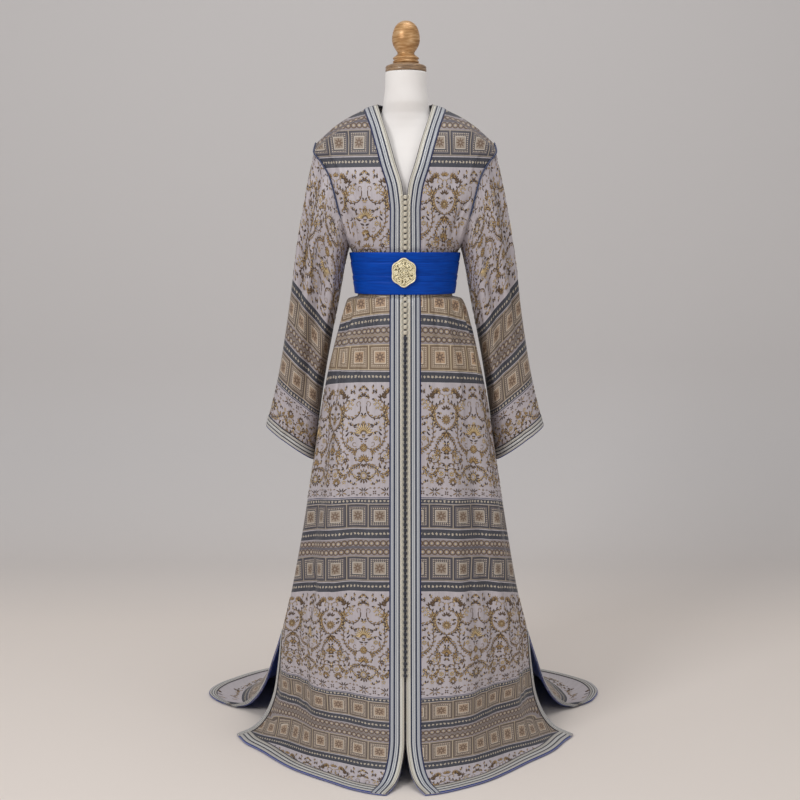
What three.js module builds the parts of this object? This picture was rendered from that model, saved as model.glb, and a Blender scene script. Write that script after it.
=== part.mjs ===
// A long Moroccan kaftan worn by a limbless dress form. Millimetres, +Z up, the front faces -Y.
// The origin is the centre of the form's foot, on the ground.
import * as THREE from 'three';

// Cloth and trims
const CLOTH = 1.6; // brocade wall
const LINING = 1.0; // satin lining wall
const BRAID = 1.5; // sfifa braid wall
const GAP = 0.4; // space between layers
const SEAM = 0.3; // space between sewn pieces
const ARMHOLE_CLEAR = 2.8; // space at the armhole, under its piping
const SFIFA_WIDTH = 34; // braid beside the opening, at each side
const HEM_BRAID_WIDTH = 26;
const SLIT_BRAID_WIDTH = 20;
const CUFF_BRAID_WIDTH = 27;
const PIPING_RADIUS = 1.8;
const PIPING_LIFT = 1.1; // how far it stands off the seam's line
const SEAM_SHARE = 0.0015; // the seam as a share of a hem's width
const HEM_TOP = 4.5; // height of the brocade's face where it lies on the ground

// Knotted buttons
const BUTTON_PITCH = 12.4;
const BUTTON_HALF_WIDTH = 5.2;
const BUTTON_DEPTH = 5;
const BUTTON_BED = 1.6; // the cord between two buttons
const BUTTON_CLEAR = GAP + BRAID + GAP + 1.2; // from the fronts to the back of the cord
const BUTTONS_TOP = 1272;
const BUTTONS_END = 208;

// Belt
const BELT_TOP = 1144;
const BELT_LOW = 1049;
const BELT_FOLD_LINES = [BELT_TOP, 1121, 1091, BELT_LOW];
const BELT_WALL = 3;
const BUCKLE_WIDTH = 58;
const BUCKLE_HEIGHT = 66;
const BUCKLE_DEPTH = 7;
const BUCKLE_X = -3; // its middle stands a little to the left of the opening
const BUCKLE_RISE = 2; // and a little above the middle of the belt
const BUCKLE_CLEAR = 2.2; // from the belt's face to the buckle's back

// Dress form
const FORM_X = 2; // the neck stands a little off the opening's line
const FORM_TOP = 1553;
const FORM_LOW = 860;
const CAP_HEIGHT = 19;
const CAP_RADIUS = 47;
const FINIAL_RADIUS = 32;
const POLE_RADIUS = 16;
const FOOT_RADIUS = 150;
const FOOT_HEIGHT = 14;

// Each front, one row for each section from the shoulder seam (first) to the hem (last).
// x, y, z: the edge beside the opening. xo, yo, zo: the outer edge, which is the armhole, the side
// seam and then the slit. ke, key: how far the curve runs on from the opening's edge before it
// turns. kox, koy: the same at the outer edge. rise: how far the middle stands over a level line.
const FRONT_COLUMNS = ['z', 'x', 'y', 'zo', 'xo', 'yo', 'ke', 'key', 'kox', 'koy', 'rise'];
const FRONT_ROWS = [
  [1480, 62, 8, 1394, 204, 4, 47, 0, -47, 0, 13],
  [1462, 57, -24, 1372, 207, -28, 50, -12, -45, 14, 13],
  [1435, 49, -54, 1345, 188, -52, 45, -22, -34, 27, 10],
  [1395, 36, -82, 1313, 170, -70, 45, -8, -30, 21, 8],
  [1345, 22, -106, 1275, 159, -78, 50, -2, -26, 22, 5],
  [1290, 6, -120, 1235, 149, -78, 55, -1, -27, 26, 2],
  [1240, 1, -124, 1200, 139, -66, 55, 0, -17, 34, 0],
  [1195, 1, -124, 1170, 132, -45, 58, 0, -4, 43, 0],
  [1156, 1, -122, 1156, 128, -10, 66, 0, 0, 62, 0],
  [1146, 1, -118, 1146, 122.5, -3, 66, 0, 0, 63, 0],
  [1100, 1, -115, 1100, 116, 0, 64, 0, 0, 63, 0],
  [1045, 1, -116, 1045, 110, 0, 61, 0, 0, 64, 0],
  [1038, 1, -125, 1038, 131, -4, 72, 0, 0, 68, 0],
  [976, 1, -140, 976, 152, -10, 84, 0, 0, 72, 0],
  [846, 1, -160, 846, 184, -18, 101, 0, 0, 78, 0],
  [660, 1, -187, 660, 214, -25, 118, 0, 0, 89, 0],
  [487, 1, -217, 487, 242, -22, 133, 0, 0, 107, 0],
  [350, 1, -245, 350, 267, -12, 140, 0, 0, 125, 0],
  [240, 1, -271, 240, 294, 5, 148, 0, -12, 136, 0],
  [165, 1, -295, 165, 303, 0, 150, 0, -30, 127, 0],
  [92, 1, -322, 95, 314, -6, 150, 0, -42, 122, 0],
  [40, 8, -350, 44, 335, -20, 150, 2, -48, 112, 0],
  [14, 22, -378, 16, 364, -36, 138, 8, -50, 100, 0],
  [HEM_TOP, 41, -407, HEM_TOP, 400, -52, 120, 15, -34, 92, 0],
];

// Half the back, one row for each section. z, y: the middle of the back. The outer edge and its
// reach are named as in the fronts. kc: how far the curve runs on from the middle.
const BACK_COLUMNS = ['z', 'y', 'zo', 'xo', 'yo', 'kc', 'kox', 'koy', 'rise'];
const BACK_ROWS = [
  [1482, 68, 1394, 204, 4, 48, -48, 0, 0],
  [1462, 75, 1372, 207, 28, 80, -45, 14, 20],
  [1435, 85, 1345, 190, 52, 70, -30, 18, 14],
  [1395, 93, 1313, 172, 70, 62, -30, 18, 8],
  [1345, 100, 1275, 160, 78, 60, -28, 18, 4],
  [1290, 103, 1235, 150, 78, 60, -26, 20, 2],
  [1240, 101, 1200, 140, 62, 62, -14, 28, 0],
  [1195, 97, 1170, 132, 34, 66, -3, 38, 0],
  [1156, 93, 1156, 128, -10, 70, 0, 56, 0],
  [1146, 89, 1146, 122.5, -3, 66, 0, 51, 0],
  [1100, 87, 1100, 116, 0, 64, 0, 48, 0],
  [1045, 88, 1045, 110, 0, 61, 0, 48, 0],
  [1038, 98, 1038, 131, -4, 72, 0, 57, 0],
  [976, 122, 976, 152, -10, 84, 0, 73, 0],
  [846, 158, 846, 184, -18, 101, 0, 97, 0],
  [660, 205, 660, 214, -25, 118, 0, 127, 0],
  [487, 250, 487, 242, -22, 133, 0, 150, 0],
  [350, 292, 350, 267, -12, 147, 0, 167, 0],
  [240, 330, 240, 294, 5, 165, 0, 175, 0],
  [165, 362, 165, 318, 18, 185, 6, 175, 0],
  [92, 402, 95, 342, 52, 215, 16, 172, 0],
  [40, 440, 44, 370, 90, 250, 56, 168, 0],
  [14, 484, 16, 396, 118, 290, 140, 165, 0],
  [HEM_TOP, 560, HEM_TOP, 425, 138, 320, 240, 162, 0],
];
const UNDERARM_ROW = 8;
const SLIT_ROW = 18;
const HEM_ROW = FRONT_ROWS.length - 1;
const NECK_SHARE = 0.32; // share of the back's top edge that is neckline, up to the shoulder seam
const NECK_POINT = { x: FRONT_ROWS[0][1], y: FRONT_ROWS[0][2], z: FRONT_ROWS[0][0] };

// A sleeve, one row for each ring below the armhole. xo, zo: the outer fold. xi, zi: the inner
// fold, beside the body. y: the ring's middle. depth: front to back.
const SLEEVE_COLUMNS = ['zo', 'xo', 'zi', 'xi', 'y', 'depth'];
const SLEEVE_ROWS = [
  [1394, 204, 1156, 128, 0, 156],
  [1300, 224, 1118, 139, 1, 150],
  [1200, 243, 1052, 151, 6, 138],
  [1090, 261, 970, 167, 12, 126],
  [980, 277, 880, 184, 18, 116],
  [870, 296, 785, 199, 24, 107],
  [790, 314, 710, 209, 28, 101],
  [735, 329, 654, 217, 30, 98],
];

// The largest folds of the skirt. top, hem: where the fold runs, as a share of the panel's width.
// spread: its half width in the same share. height: how far it stands out. from: where it starts.
const FOLD_COLUMNS = ['top', 'hem', 'spread', 'height', 'from'];
const FRONT_FOLDS = {
  left: [
    [0.34, 0.3, 0.075, -7, 900],
    [0.52, 0.5, 0.085, 9, 1030],
    [0.72, 0.7, 0.08, -9, 1000],
    [0.86, 0.84, 0.06, 8, 700],
  ],
  right: [
    [0.3, 0.33, 0.08, 8, 980],
    [0.5, 0.55, 0.08, -8, 1020],
    [0.68, 0.72, 0.075, 9, 860],
    [0.88, 0.87, 0.06, -7, 1000],
  ],
};
const BACK_FOLDS = [
  [-0.78, -0.8, 0.07, 12, 900],
  [-0.55, -0.58, 0.08, -13, 1020],
  [-0.33, -0.34, 0.075, 15, 980],
  [-0.1, -0.09, 0.08, -14, 1030],
  [0.16, 0.17, 0.075, 14, 1000],
  [0.4, 0.41, 0.08, -13, 940],
  [0.62, 0.64, 0.07, 14, 1025],
  [0.83, 0.84, 0.055, -9, 880],
];

// The dress form's bust, one row for each level section.
const FORM_COLUMNS = ['z', 'half', 'front', 'back'];
const FORM_ROWS = [
  [FORM_TOP, 47, 46, 46],
  [1520, 48, 46, 47],
  [1487, 52, 47, 51],
  [1470, 54, 43, 52],
  [1458, 58, 40, 54],
  [1446, 70, 40, 57],
  [1430, 108, 43, 62],
  [1414, 146, 50, 68],
  [1395, 171, 62, 74],
  [1376, 181, 76, 80],
  [1352, 180, 90, 86],
  [1328, 163, 99, 89],
  [1290, 142, 108, 91],
  [1240, 134, 112, 89],
  [1190, 124, 112, 85],
  [1145, 111, 108, 80],
  [1095, 103, 103, 77],
  [1045, 99, 103, 78],
  [990, 116, 112, 94],
  [925, 132, 120, 112],
  [FORM_LOW + 12, 140, 124, 122],
  [FORM_LOW, 130, 114, 112],
];

const PAINT = {
  brocade: { color: 0xa79d9c, roughness: 0.55, metalness: 0.1 },
  braid: { color: 0xc6c9cc, roughness: 0.5, metalness: 0.15 },
  lining: { color: 0x12307a, roughness: 0.4, metalness: 0 },
  belt: { color: 0x0a47a6, roughness: 0.38, metalness: 0 },
  silk: { color: 0xcfc6b8, roughness: 0.5, metalness: 0 },
  navy: { color: 0x1e2f55, roughness: 0.6, metalness: 0 },
  gilt: { color: 0xcdb98c, roughness: 0.35, metalness: 0.9 },
  jersey: { color: 0xe9e6e4, roughness: 0.85, metalness: 0 },
  cap: { color: 0x5a4736, roughness: 0.5, metalness: 0 },
  finial: { color: 0xa98148, roughness: 0.4, metalness: 0.3 },
  steel: { color: 0x8d8f92, roughness: 0.4, metalness: 0.8 },
};

const kaftan = new THREE.Group();

/** Adds a closed body of shared points and triangles, turned outwards, under its own name. */
function addBody(name, points, triangles, paint) {
  let volume = 0;
  for (const [a, b, c] of triangles) {
    volume += points[a].dot(new THREE.Vector3().crossVectors(points[b], points[c]));
  }
  const geometry = new THREE.BufferGeometry();
  geometry.setAttribute('position', new THREE.Float32BufferAttribute(points.flatMap((p) => p.toArray()), 3));
  geometry.setIndex(triangles.flatMap(([a, b, c]) => (volume > 0 ? [a, b, c] : [a, c, b])));
  geometry.computeVertexNormals();
  const mesh = new THREE.Mesh(geometry, new THREE.MeshStandardMaterial(PAINT[paint]));
  mesh.name = name;
  kaftan.add(mesh);
}

/** A number between two others, and a soft step from 0 to 1 between two heights. */
const between = (a, b, share) => a + (b - a) * share;
const step = (low, high, value) => THREE.MathUtils.smoothstep(value, low, high);
const spaced = (from, to, count) => Array.from({ length: count + 1 }, (_, i) => between(from, to, i / count));

/** The value of one column at a place between rows: a smooth curve that doesn't overshoot a row. */
function columnAt(rows, column, place) {
  const last = rows.length - 1;
  const row = Math.min(Math.max(Math.floor(place), 0), last - 1);
  const value = (i) => rows[Math.min(Math.max(i, 0), last)][column];
  const slope = (i) => {
    const before = value(i) - value(i - 1);
    const after = value(i + 1) - value(i);
    if (i <= 0) return after;
    if (i >= last) return before;
    return before * after <= 0 ? 0 : (2 * before * after) / (before + after);
  };
  const t = place - row;
  const a = value(row);
  const b = value(row + 1);
  return (
    a * (1 + 2 * t) * (1 - t) ** 2 +
    b * t * t * (3 - 2 * t) +
    slope(row) * t * (1 - t) ** 2 -
    slope(row + 1) * t * t * (1 - t)
  );
}

/** All named columns of a table at a place between its rows. */
function rowAt(rows, columns, place) {
  return Object.fromEntries(columns.map((name, column) => [name, columnAt(rows, column, place)]));
}

/** A cubic curve from a to d that leaves towards b and arrives from c. */
function cubic(a, b, c, d, t) {
  const u = 1 - t;
  return a * u ** 3 + 3 * b * t * u * u + 3 * c * t * t * u + d * t ** 3;
}

/** How far the folds stand out at a share of the width and a height: a sum of soft ridges. */
function foldsAt(folds, share, z) {
  let out = 0;
  for (const fold of folds) {
    const [top, hem, spread, height, from] = fold;
    const middle = between(hem, top, z / 1050);
    const grown = step(0, 1, (from - z) / 420) * between(0.35, 1, step(10, 140, z));
    out += height * grown * Math.exp(-(((share - middle) / spread) ** 2));
  }
  return out;
}

/** A point of a front: share 0 at the opening and 1 at the outer edge, place along its rows. */
function frontPoint(side, share, place) {
  const r = rowAt(FRONT_ROWS, FRONT_COLUMNS, place);
  const plan = (t) => [
    cubic(r.x, r.x + r.ke, r.xo + r.kox, r.xo, t),
    cubic(r.y, r.y + r.key, r.yo - r.koy, r.yo, t),
  ];
  const [x, y] = plan(share);
  const z = between(r.z, r.zo, share) + r.rise * 4 * share * (1 - share);
  const [ax, ay] = plan(share - 0.01);
  const [bx, by] = plan(share + 0.01);
  const run = Math.hypot(bx - ax, by - ay) || 1;
  const fade = step(0.14, 0.28, share) * (1 - step(0.88, 0.99, share));
  const out = foldsAt(FRONT_FOLDS[side < 0 ? 'left' : 'right'], share, z) * fade;
  return new THREE.Vector3(side * (x + (out * (by - ay)) / run), y - (out * (bx - ax)) / run, z);
}

/** A point of the back: across from -1 at the left outer edge to 1 at the right one. */
function backPoint(across, place) {
  const side = across < 0 ? -1 : 1;
  const t = Math.abs(across);
  const r = rowAt(BACK_ROWS, BACK_COLUMNS, Math.max(place, 1));
  const plan = (u) => [cubic(0, r.kc, r.xo + r.kox, r.xo, u), cubic(r.y, r.y, r.yo + r.koy, r.yo, u)];
  const [x, y] = plan(t);
  const point = new THREE.Vector3(x, y, between(r.z, r.zo, t) + r.rise * 4 * t * (1 - t));
  if (place < 1) {
    // The top edge: a quarter round of neckline, then the shoulder seam of the fronts.
    const top = rowAt(BACK_ROWS, BACK_COLUMNS, 0);
    const turn = (Math.min(t / NECK_SHARE, 1) * Math.PI) / 2;
    const edge = new THREE.Vector3(
      NECK_POINT.x * Math.sin(turn),
      between(NECK_POINT.y, top.y, Math.cos(turn)),
      between(top.z, NECK_POINT.z, 1 - Math.cos(turn)),
    );
    if (t > NECK_SHARE) edge.copy(frontPoint(1, (t - NECK_SHARE) / (1 - NECK_SHARE), 0));
    point.lerpVectors(edge, point, place);
    point.z += 9 * place * (1 - place) * 4 * step(0, 0.4, t) * (1 - step(0.8, 1, t));
    point.y += 5 * place * (1 - place) * 4 * (1 - step(0.8, 1, t));
  }
  const [ax, ay] = plan(t - 0.01);
  const [bx, by] = plan(t + 0.01);
  const run = Math.hypot(bx - ax, by - ay) || 1;
  const out = foldsAt(BACK_FOLDS, across, point.z) * (1 - step(0.9, 0.99, t));
  point.x += (-out * (by - ay)) / run;
  point.y += (out * (bx - ax)) / run;
  point.x *= side;
  return point;
}

/** The armhole's seam, round from the shoulder (0) by the front to the underarm (0.5) and back. */
function armholePoint(side, round) {
  const turn = ((round % 1) + 1) % 1;
  if (turn <= 0.5) return frontPoint(side, 1, turn * 2 * UNDERARM_ROW);
  return backPoint(side, (1 - turn) * 2 * UNDERARM_ROW);
}

/** A point of a sleeve: round as on the armhole, place from 0 at the armhole to the cuff. */
function sleevePoint(side, round, place) {
  const r = rowAt(SLEEVE_ROWS, SLEEVE_COLUMNS, place);
  const angle = round * 2 * Math.PI;
  const c = Math.cos(angle);
  const s = Math.sin(angle);
  const bow = Math.sign(c) * Math.abs(c) ** 0.9;
  const ring = new THREE.Vector3(
    (side * (r.xo + r.xi + (r.xo - r.xi) * bow)) / 2,
    r.y - (r.depth / 2) * Math.sign(s) * Math.abs(s) ** 0.9,
    (r.zo + r.zi + (r.zo - r.zi) * bow) / 2,
  );
  const seam = armholePoint(side, round);
  return seam.lerp(ring, step(-0.25, 2, place) ** 0.8);
}

/** The outward normal of a surface at u, v, by short steps to each side. */
function normalAt(surface, u, v, sign, du, dv) {
  const along = surface(u + du, v).sub(surface(u - du, v));
  const down = surface(u, v + dv).sub(surface(u, v - dv));
  return along.cross(down).normalize().multiplyScalar(sign);
}

/**
 * A wall of cloth over a grid of a surface. columns(v): the grid's places across, at each of the
 * rows vs. out: how far the face stands over the surface. thick: the wall. closed: the grid runs
 * round. flatten: sets the normal along a seam. What lies on a panel is given the panel's own
 * columns and rows, so its facets are the panel's, moved out.
 */
function addWall(name, paint, surface, { columns, vs, sign, out, thick, closed = false, flatten = null }) {
  const points = [];
  for (const depth of [out, out - thick]) {
    for (const v of vs) {
      for (const u of columns(v)) {
        const normal = normalAt(surface, u, v, sign, 0.004, 0.04);
        if (flatten) flatten(normal, u, v);
        points.push(surface(u, v).addScaledVector(normal, depth));
      }
    }
  }
  const wide = columns(vs[0]).length;
  const tall = vs.length;
  const at = (layer, row, column) => layer * wide * tall + row * wide + (column % wide);
  const triangles = [];
  const quad = (a, b, c, d) => triangles.push([a, b, c], [a, c, d]);
  const spans = closed ? wide : wide - 1;
  for (let row = 0; row < tall - 1; row += 1) {
    for (let i = 0; i < spans; i += 1) {
      quad(at(0, row, i), at(0, row, i + 1), at(0, row + 1, i + 1), at(0, row + 1, i));
      triangles.push([at(1, row, i), at(1, row + 1, i + 1), at(1, row, i + 1)]);
      triangles.push([at(1, row, i), at(1, row + 1, i), at(1, row + 1, i + 1)]);
    }
    if (!closed) {
      quad(at(0, row, 0), at(0, row + 1, 0), at(1, row + 1, 0), at(1, row, 0));
      quad(at(0, row, wide - 1), at(1, row, wide - 1), at(1, row + 1, wide - 1), at(0, row + 1, wide - 1));
    }
  }
  for (let i = 0; i < spans; i += 1) {
    quad(at(0, 0, i), at(1, 0, i), at(1, 0, i + 1), at(0, 0, i + 1));
    quad(at(0, tall - 1, i), at(0, tall - 1, i + 1), at(1, tall - 1, i + 1), at(1, tall - 1, i));
  }
  addBody(name, points, triangles, paint);
}

/** The share of a line of a surface that a distance in millimetres from one end takes up. */
function shareOf(surface, from, to, distance) {
  const parts = 60;
  let run = 0;
  let last = surface(from);
  for (let i = 1; i <= parts; i += 1) {
    const here = surface(between(from, to, i / parts));
    const length = here.distanceTo(last);
    if (run + length >= distance) return between(from, to, (i - 1 + (distance - run) / length) / parts);
    run += length;
    last = here;
  }
  return to;
}

// Rows of the body's grid: one at each section, and more between the long ones. The braid of the
// back neck and those of the hem end on rows of their own.
const backColumn = (v) => backPoint(0, v);
const neckDrop = shareOf(backColumn, 0, 3, SFIFA_WIDTH);
const hemBraidRow = shareOf((v) => frontPoint(1, 0.5, v), HEM_ROW, SLIT_ROW, HEM_BRAID_WIDTH);
const backHemBraidRow = shareOf(backColumn, HEM_ROW, SLIT_ROW, HEM_BRAID_WIDTH);
const SHOULDER_START = 0.012;
// The outer edge keeps clear of the sleeve, then of the other side of the side seam.
const outerEdge = (v, fromOuter) => {
  if (v < UNDERARM_ROW) return fromOuter(v, ARMHOLE_CLEAR);
  return v <= SLIT_ROW ? fromOuter(v, SEAM) : 1;
};
const bodyRows = (extra) => {
  const rows = [SHOULDER_START, ...spaced(1, 14, 13), 14.5, 15, 15.5, 16, 16.5];
  rows.push(...spaced(17, HEM_ROW, HEM_ROW - 17), extra);
  return rows.sort((a, b) => a - b);
};
const LINING_START = 17;
// A lining's seam edges stop a little short of the brocade's, above the slit.
const LINING_SHORT = 0.004;
const liningEdges = (columns) => (v) => {
  const places = columns(v);
  const short = v <= SLIT_ROW ? LINING_SHORT : 0;
  const last = places.length - 1;
  return places.map((s, i) => (i < last && i > 0 ? s : s - Math.sign(s) * short));
};
const shoulderFlat = (normal, u, v) => {
  if (v < 0.2) normal.setY(0).normalize();
};

// Fronts. Each runs from the shoulder to the hem, with the side seam open below the slit.
const FRONT_CELLS = 8; // between the opening's braid and the slit's
for (const side of [-1, 1]) {
  const hand = side < 0 ? 'left' : 'right';
  const surface = (u, v) => frontPoint(side, u, v);
  const fromOpening = (v, width) => shareOf((s) => surface(s, v), 0, 1, width);
  const fromOuter = (v, width) => shareOf((s) => surface(s, v), 1, 0, width);
  const columns = (v) => [
    0,
    ...spaced(fromOpening(v, SFIFA_WIDTH), fromOuter(v, SLIT_BRAID_WIDTH), FRONT_CELLS),
    outerEdge(v, fromOuter),
  ];
  const rows = bodyRows(hemBraidRow);
  const common = { sign: -side, flatten: shoulderFlat };
  const braid = { ...common, out: GAP + BRAID, thick: BRAID };
  const inner = (v) => columns(v).slice(1, -1);

  addWall(`front_${hand}`, 'brocade', surface, { ...common, columns, vs: rows, out: 0, thick: CLOTH });
  addWall(`lining_${hand}`, 'lining', surface, {
    ...common,
    columns: liningEdges(columns),
    vs: rows.filter((v) => v >= LINING_START),
    out: -CLOTH - GAP,
    thick: LINING,
  });
  addWall(`sfifa_${hand}`, 'braid', surface, {
    ...braid,
    columns: (v) => columns(v).slice(0, 2),
    vs: rows,
  });
  addWall(`hem_braid_${hand}`, 'braid', surface, {
    ...braid,
    columns: (v) => {
      const places = inner(v);
      return [places[0] + SEAM_SHARE, ...places.slice(1, -1), places.at(-1) - SEAM_SHARE];
    },
    vs: [hemBraidRow, ...rows.filter((v) => v > hemBraidRow)],
  });
  addWall(`slit_braid_front_${hand}`, 'braid', surface, {
    ...braid,
    columns: (v) => columns(v).slice(-2),
    vs: rows.filter((v) => v > SLIT_ROW),
  });
}

// Back. One wide piece, its hem spread behind as a train.
const NECK_CELLS = 3;
const BACK_CELLS = 5;
const backFromOuter = (v, width) => shareOf((s) => backPoint(s, v), 1, 0, width);
const backHalf = (v) => [
  ...spaced(0, NECK_SHARE, NECK_CELLS),
  ...spaced(NECK_SHARE, backFromOuter(v, SLIT_BRAID_WIDTH), BACK_CELLS).slice(1),
  outerEdge(v, backFromOuter),
];
const mirrored = (half) => [...half.slice(1).reverse().map((s) => -s), ...half];
const backColumns = (v) => mirrored(backHalf(v));
const backRows = bodyRows(backHemBraidRow).concat(neckDrop).sort((a, b) => a - b);
const backBraid = { sign: 1, out: GAP + BRAID, thick: BRAID, flatten: shoulderFlat };

addWall('back', 'brocade', backPoint, {
  columns: backColumns,
  vs: backRows,
  sign: 1,
  out: 0,
  thick: CLOTH,
  flatten: shoulderFlat,
});
addWall('lining_back', 'lining', backPoint, {
  columns: liningEdges(backColumns),
  vs: backRows.filter((v) => v >= LINING_START),
  sign: 1,
  out: -CLOTH - GAP,
  thick: LINING,
});
addWall('hem_braid_back', 'braid', backPoint, {
  ...backBraid,
  columns: (v) => {
    const places = backHalf(v).slice(0, -1);
    return mirrored([...places.slice(0, -1), places.at(-1) - SEAM_SHARE]);
  },
  vs: backRows.filter((v) => v >= backHemBraidRow),
});
for (const side of [-1, 1]) {
  addWall(`slit_braid_back_${side < 0 ? 'left' : 'right'}`, 'braid', backPoint, {
    ...backBraid,
    columns: (v) => (side < 0 ? backColumns(v).slice(0, 2) : backColumns(v).slice(-2)),
    vs: backRows.filter((v) => v > SLIT_ROW),
  });
}
addWall('sfifa_neck', 'braid', backPoint, {
  ...backBraid,
  columns: () => mirrored(spaced(0, NECK_SHARE, NECK_CELLS)),
  vs: backRows.filter((v) => v <= neckDrop),
});

// Sleeves, each set into its armhole with a piping over the seam and a braid at the mouth.
const CUFF = SLEEVE_ROWS.length - 1;
const SLEEVE_CELLS = 18;
const SLEEVE_START = 0.1; // the sleeve's first ring, just below the armhole seam
for (const side of [-1, 1]) {
  const hand = side < 0 ? 'left' : 'right';
  const surface = (u, v) => sleevePoint(side, u, v);
  const braidStart = shareOf((v) => surface(0.25, v), CUFF, 0, CUFF_BRAID_WIDTH);
  const common = { columns: () => spaced(0, 1, SLEEVE_CELLS).slice(0, -1), sign: side, closed: true };
  addWall(`sleeve_${hand}`, 'brocade', surface, {
    ...common,
    vs: [SLEEVE_START, 0.35, 0.7, 1.1, 1.6, 2.2, 3, 4, 5.2, braidStart, CUFF],
    out: 0,
    thick: CLOTH,
  });
  addWall(`cuff_braid_${hand}`, 'braid', surface, {
    ...common,
    vs: [braidStart, CUFF],
    out: GAP + BRAID,
    thick: BRAID,
  });
  addPiping(`piping_${hand}`, side);
}

/**
 * A cord on the armhole's seam, over the shoulder and down to where the sleeve folds against the
 * body at the front and the back. Its square section stands on the seam, between the two normals.
 */
function addPiping(name, side) {
  const turns = 20;
  const corners = 4;
  const reach = 0.34; // how far round the armhole it shows, to each side of the shoulder
  const points = [];
  for (let i = 0; i <= turns; i += 1) {
    const round = between(-reach, reach, i / turns);
    const here = armholePoint(side, round);
    const along = armholePoint(side, round + 0.01).sub(armholePoint(side, round - 0.01)).normalize();
    const place = Math.abs(round) * 2 * UNDERARM_ROW;
    const panel =
      round >= 0
        ? normalAt((u, v) => frontPoint(side, u, v), 0.97, place, -side, 0.004, 0.04)
        : normalAt(backPoint, side * 0.97, Math.max(place, 0.1), 1, 0.004, 0.04);
    const sleeve = normalAt((u, v) => sleevePoint(side, u, v), round, 0.4, side, 0.004, 0.04);
    const out = panel.add(sleeve).normalize();
    const across = along.clone().cross(out).normalize();
    here.addScaledVector(out, PIPING_RADIUS + PIPING_LIFT);
    for (let k = 0; k < corners; k += 1) {
      const angle = ((k + 0.5) / corners) * 2 * Math.PI;
      points.push(
        here
          .clone()
          .addScaledVector(out, PIPING_RADIUS * Math.cos(angle))
          .addScaledVector(across, PIPING_RADIUS * Math.sin(angle)),
      );
    }
  }
  addBody(name, points, ringTriangles(turns + 1, corners), 'navy');
}

/** Triangles of a bar of rings with flat ends, each ring with the same number of corners. */
function ringTriangles(rings, corners) {
  const triangles = [];
  for (let ring = 0; ring < rings - 1; ring += 1) {
    for (let k = 0; k < corners; k += 1) {
      const a = ring * corners + k;
      const b = ring * corners + ((k + 1) % corners);
      triangles.push([a, b, b + corners], [a, b + corners, a + corners]);
    }
  }
  const end = (rings - 1) * corners;
  for (let k = 1; k < corners - 1; k += 1) {
    triangles.push([0, k + 1, k], [end, end + k, end + k + 1]);
  }
  return triangles;
}

// Knotted buttons: a cord down the middle of the opening that swells at each button.
const openingPlace = (z) => {
  let low = 0;
  let high = HEM_ROW;
  for (let i = 0; i < 40; i += 1) {
    const middle = (low + high) / 2;
    if (columnAt(FRONT_ROWS, 0, middle) > z) low = middle;
    else high = middle;
  }
  return low;
};
const openingDepth = (z) => columnAt(FRONT_ROWS, 2, openingPlace(z));

function addButtonRow(name, top, low) {
  const count = Math.floor((top - low) / BUTTON_PITCH);
  const points = [];
  for (let i = 0; i <= count * 2; i += 1) {
    const z = top - (i * BUTTON_PITCH) / 2;
    const swell = i % 2 === 1;
    const half = swell ? BUTTON_HALF_WIDTH : BUTTON_BED;
    const depth = swell ? BUTTON_DEPTH : BUTTON_BED;
    const back = openingDepth(z) - BUTTON_CLEAR;
    points.push(
      new THREE.Vector3(-half, back - depth * 0.45, z),
      new THREE.Vector3(0, back, z),
      new THREE.Vector3(half, back - depth * 0.45, z),
      new THREE.Vector3(0, back - depth, z),
    );
  }
  addBody(name, points, ringTriangles(points.length / 4, 4), 'silk');
}
addButtonRow('aakad_upper', BUTTONS_TOP, BELT_TOP + 2);
addButtonRow('aakad_lower', BELT_LOW - 2, BUTTONS_END);

// Belt: three folds of satin round the waist, over the braid, and a buckle at the front.
function waistPoint(round, z) {
  const turn = ((round % 1) + 1) % 1;
  const place = openingPlace(z);
  if (turn < 0.25) return frontPoint(1, turn * 4, place);
  if (turn < 0.75) return backPoint((0.5 - turn) * 4, place);
  return frontPoint(-1, (1 - turn) * 4, place);
}
const BELT_NAMES = ['belt_upper', 'belt_middle', 'belt_lower'];
const BELT_CLEAR = GAP + BRAID + GAP + 1.9;
const BELT_CELLS = 32;
BELT_NAMES.forEach((name, fold) => {
  const high = BELT_FOLD_LINES[fold] - (fold ? SEAM : 0);
  const low = BELT_FOLD_LINES[fold + 1];
  const surface = (u, v) => waistPoint(u, between(high, low, v));
  addWall(name, 'belt', surface, {
    columns: () => spaced(0, 1, BELT_CELLS).slice(0, -1),
    vs: [0, 1],
    sign: -1,
    out: BELT_CLEAR + BELT_WALL,
    thick: BELT_WALL,
    closed: true,
    flatten: (normal) => normal.setZ(0).normalize(),
  });
});

/** The buckle: a six-lobed plate, flat behind and domed in front. */
function addBuckle() {
  const lobes = 6;
  const parts = 36;
  const middle = (BELT_TOP + BELT_LOW) / 2 + BUCKLE_RISE;
  const back = openingDepth(1100) - BELT_CLEAR - BELT_WALL - BUCKLE_CLEAR;
  const steps = [
    [1, 0],
    [1, 0.35],
    [0.9, 0.7],
    [0.55, 1],
  ];
  const points = [];
  for (const [size, lift] of steps) {
    for (let i = 0; i < parts; i += 1) {
      const angle = (i / parts) * 2 * Math.PI;
      const edge = 0.95 + 0.05 * Math.cos(lobes * angle);
      points.push(
        new THREE.Vector3(
          (BUCKLE_WIDTH / 2) * size * edge * Math.sin(angle) + BUCKLE_X,
          back - BUCKLE_DEPTH * lift,
          middle + (BUCKLE_HEIGHT / 2) * size * edge * Math.cos(angle),
        ),
      );
    }
  }
  addBody('buckle', points, ringTriangles(steps.length, parts), 'gilt');
}
addBuckle();

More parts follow.
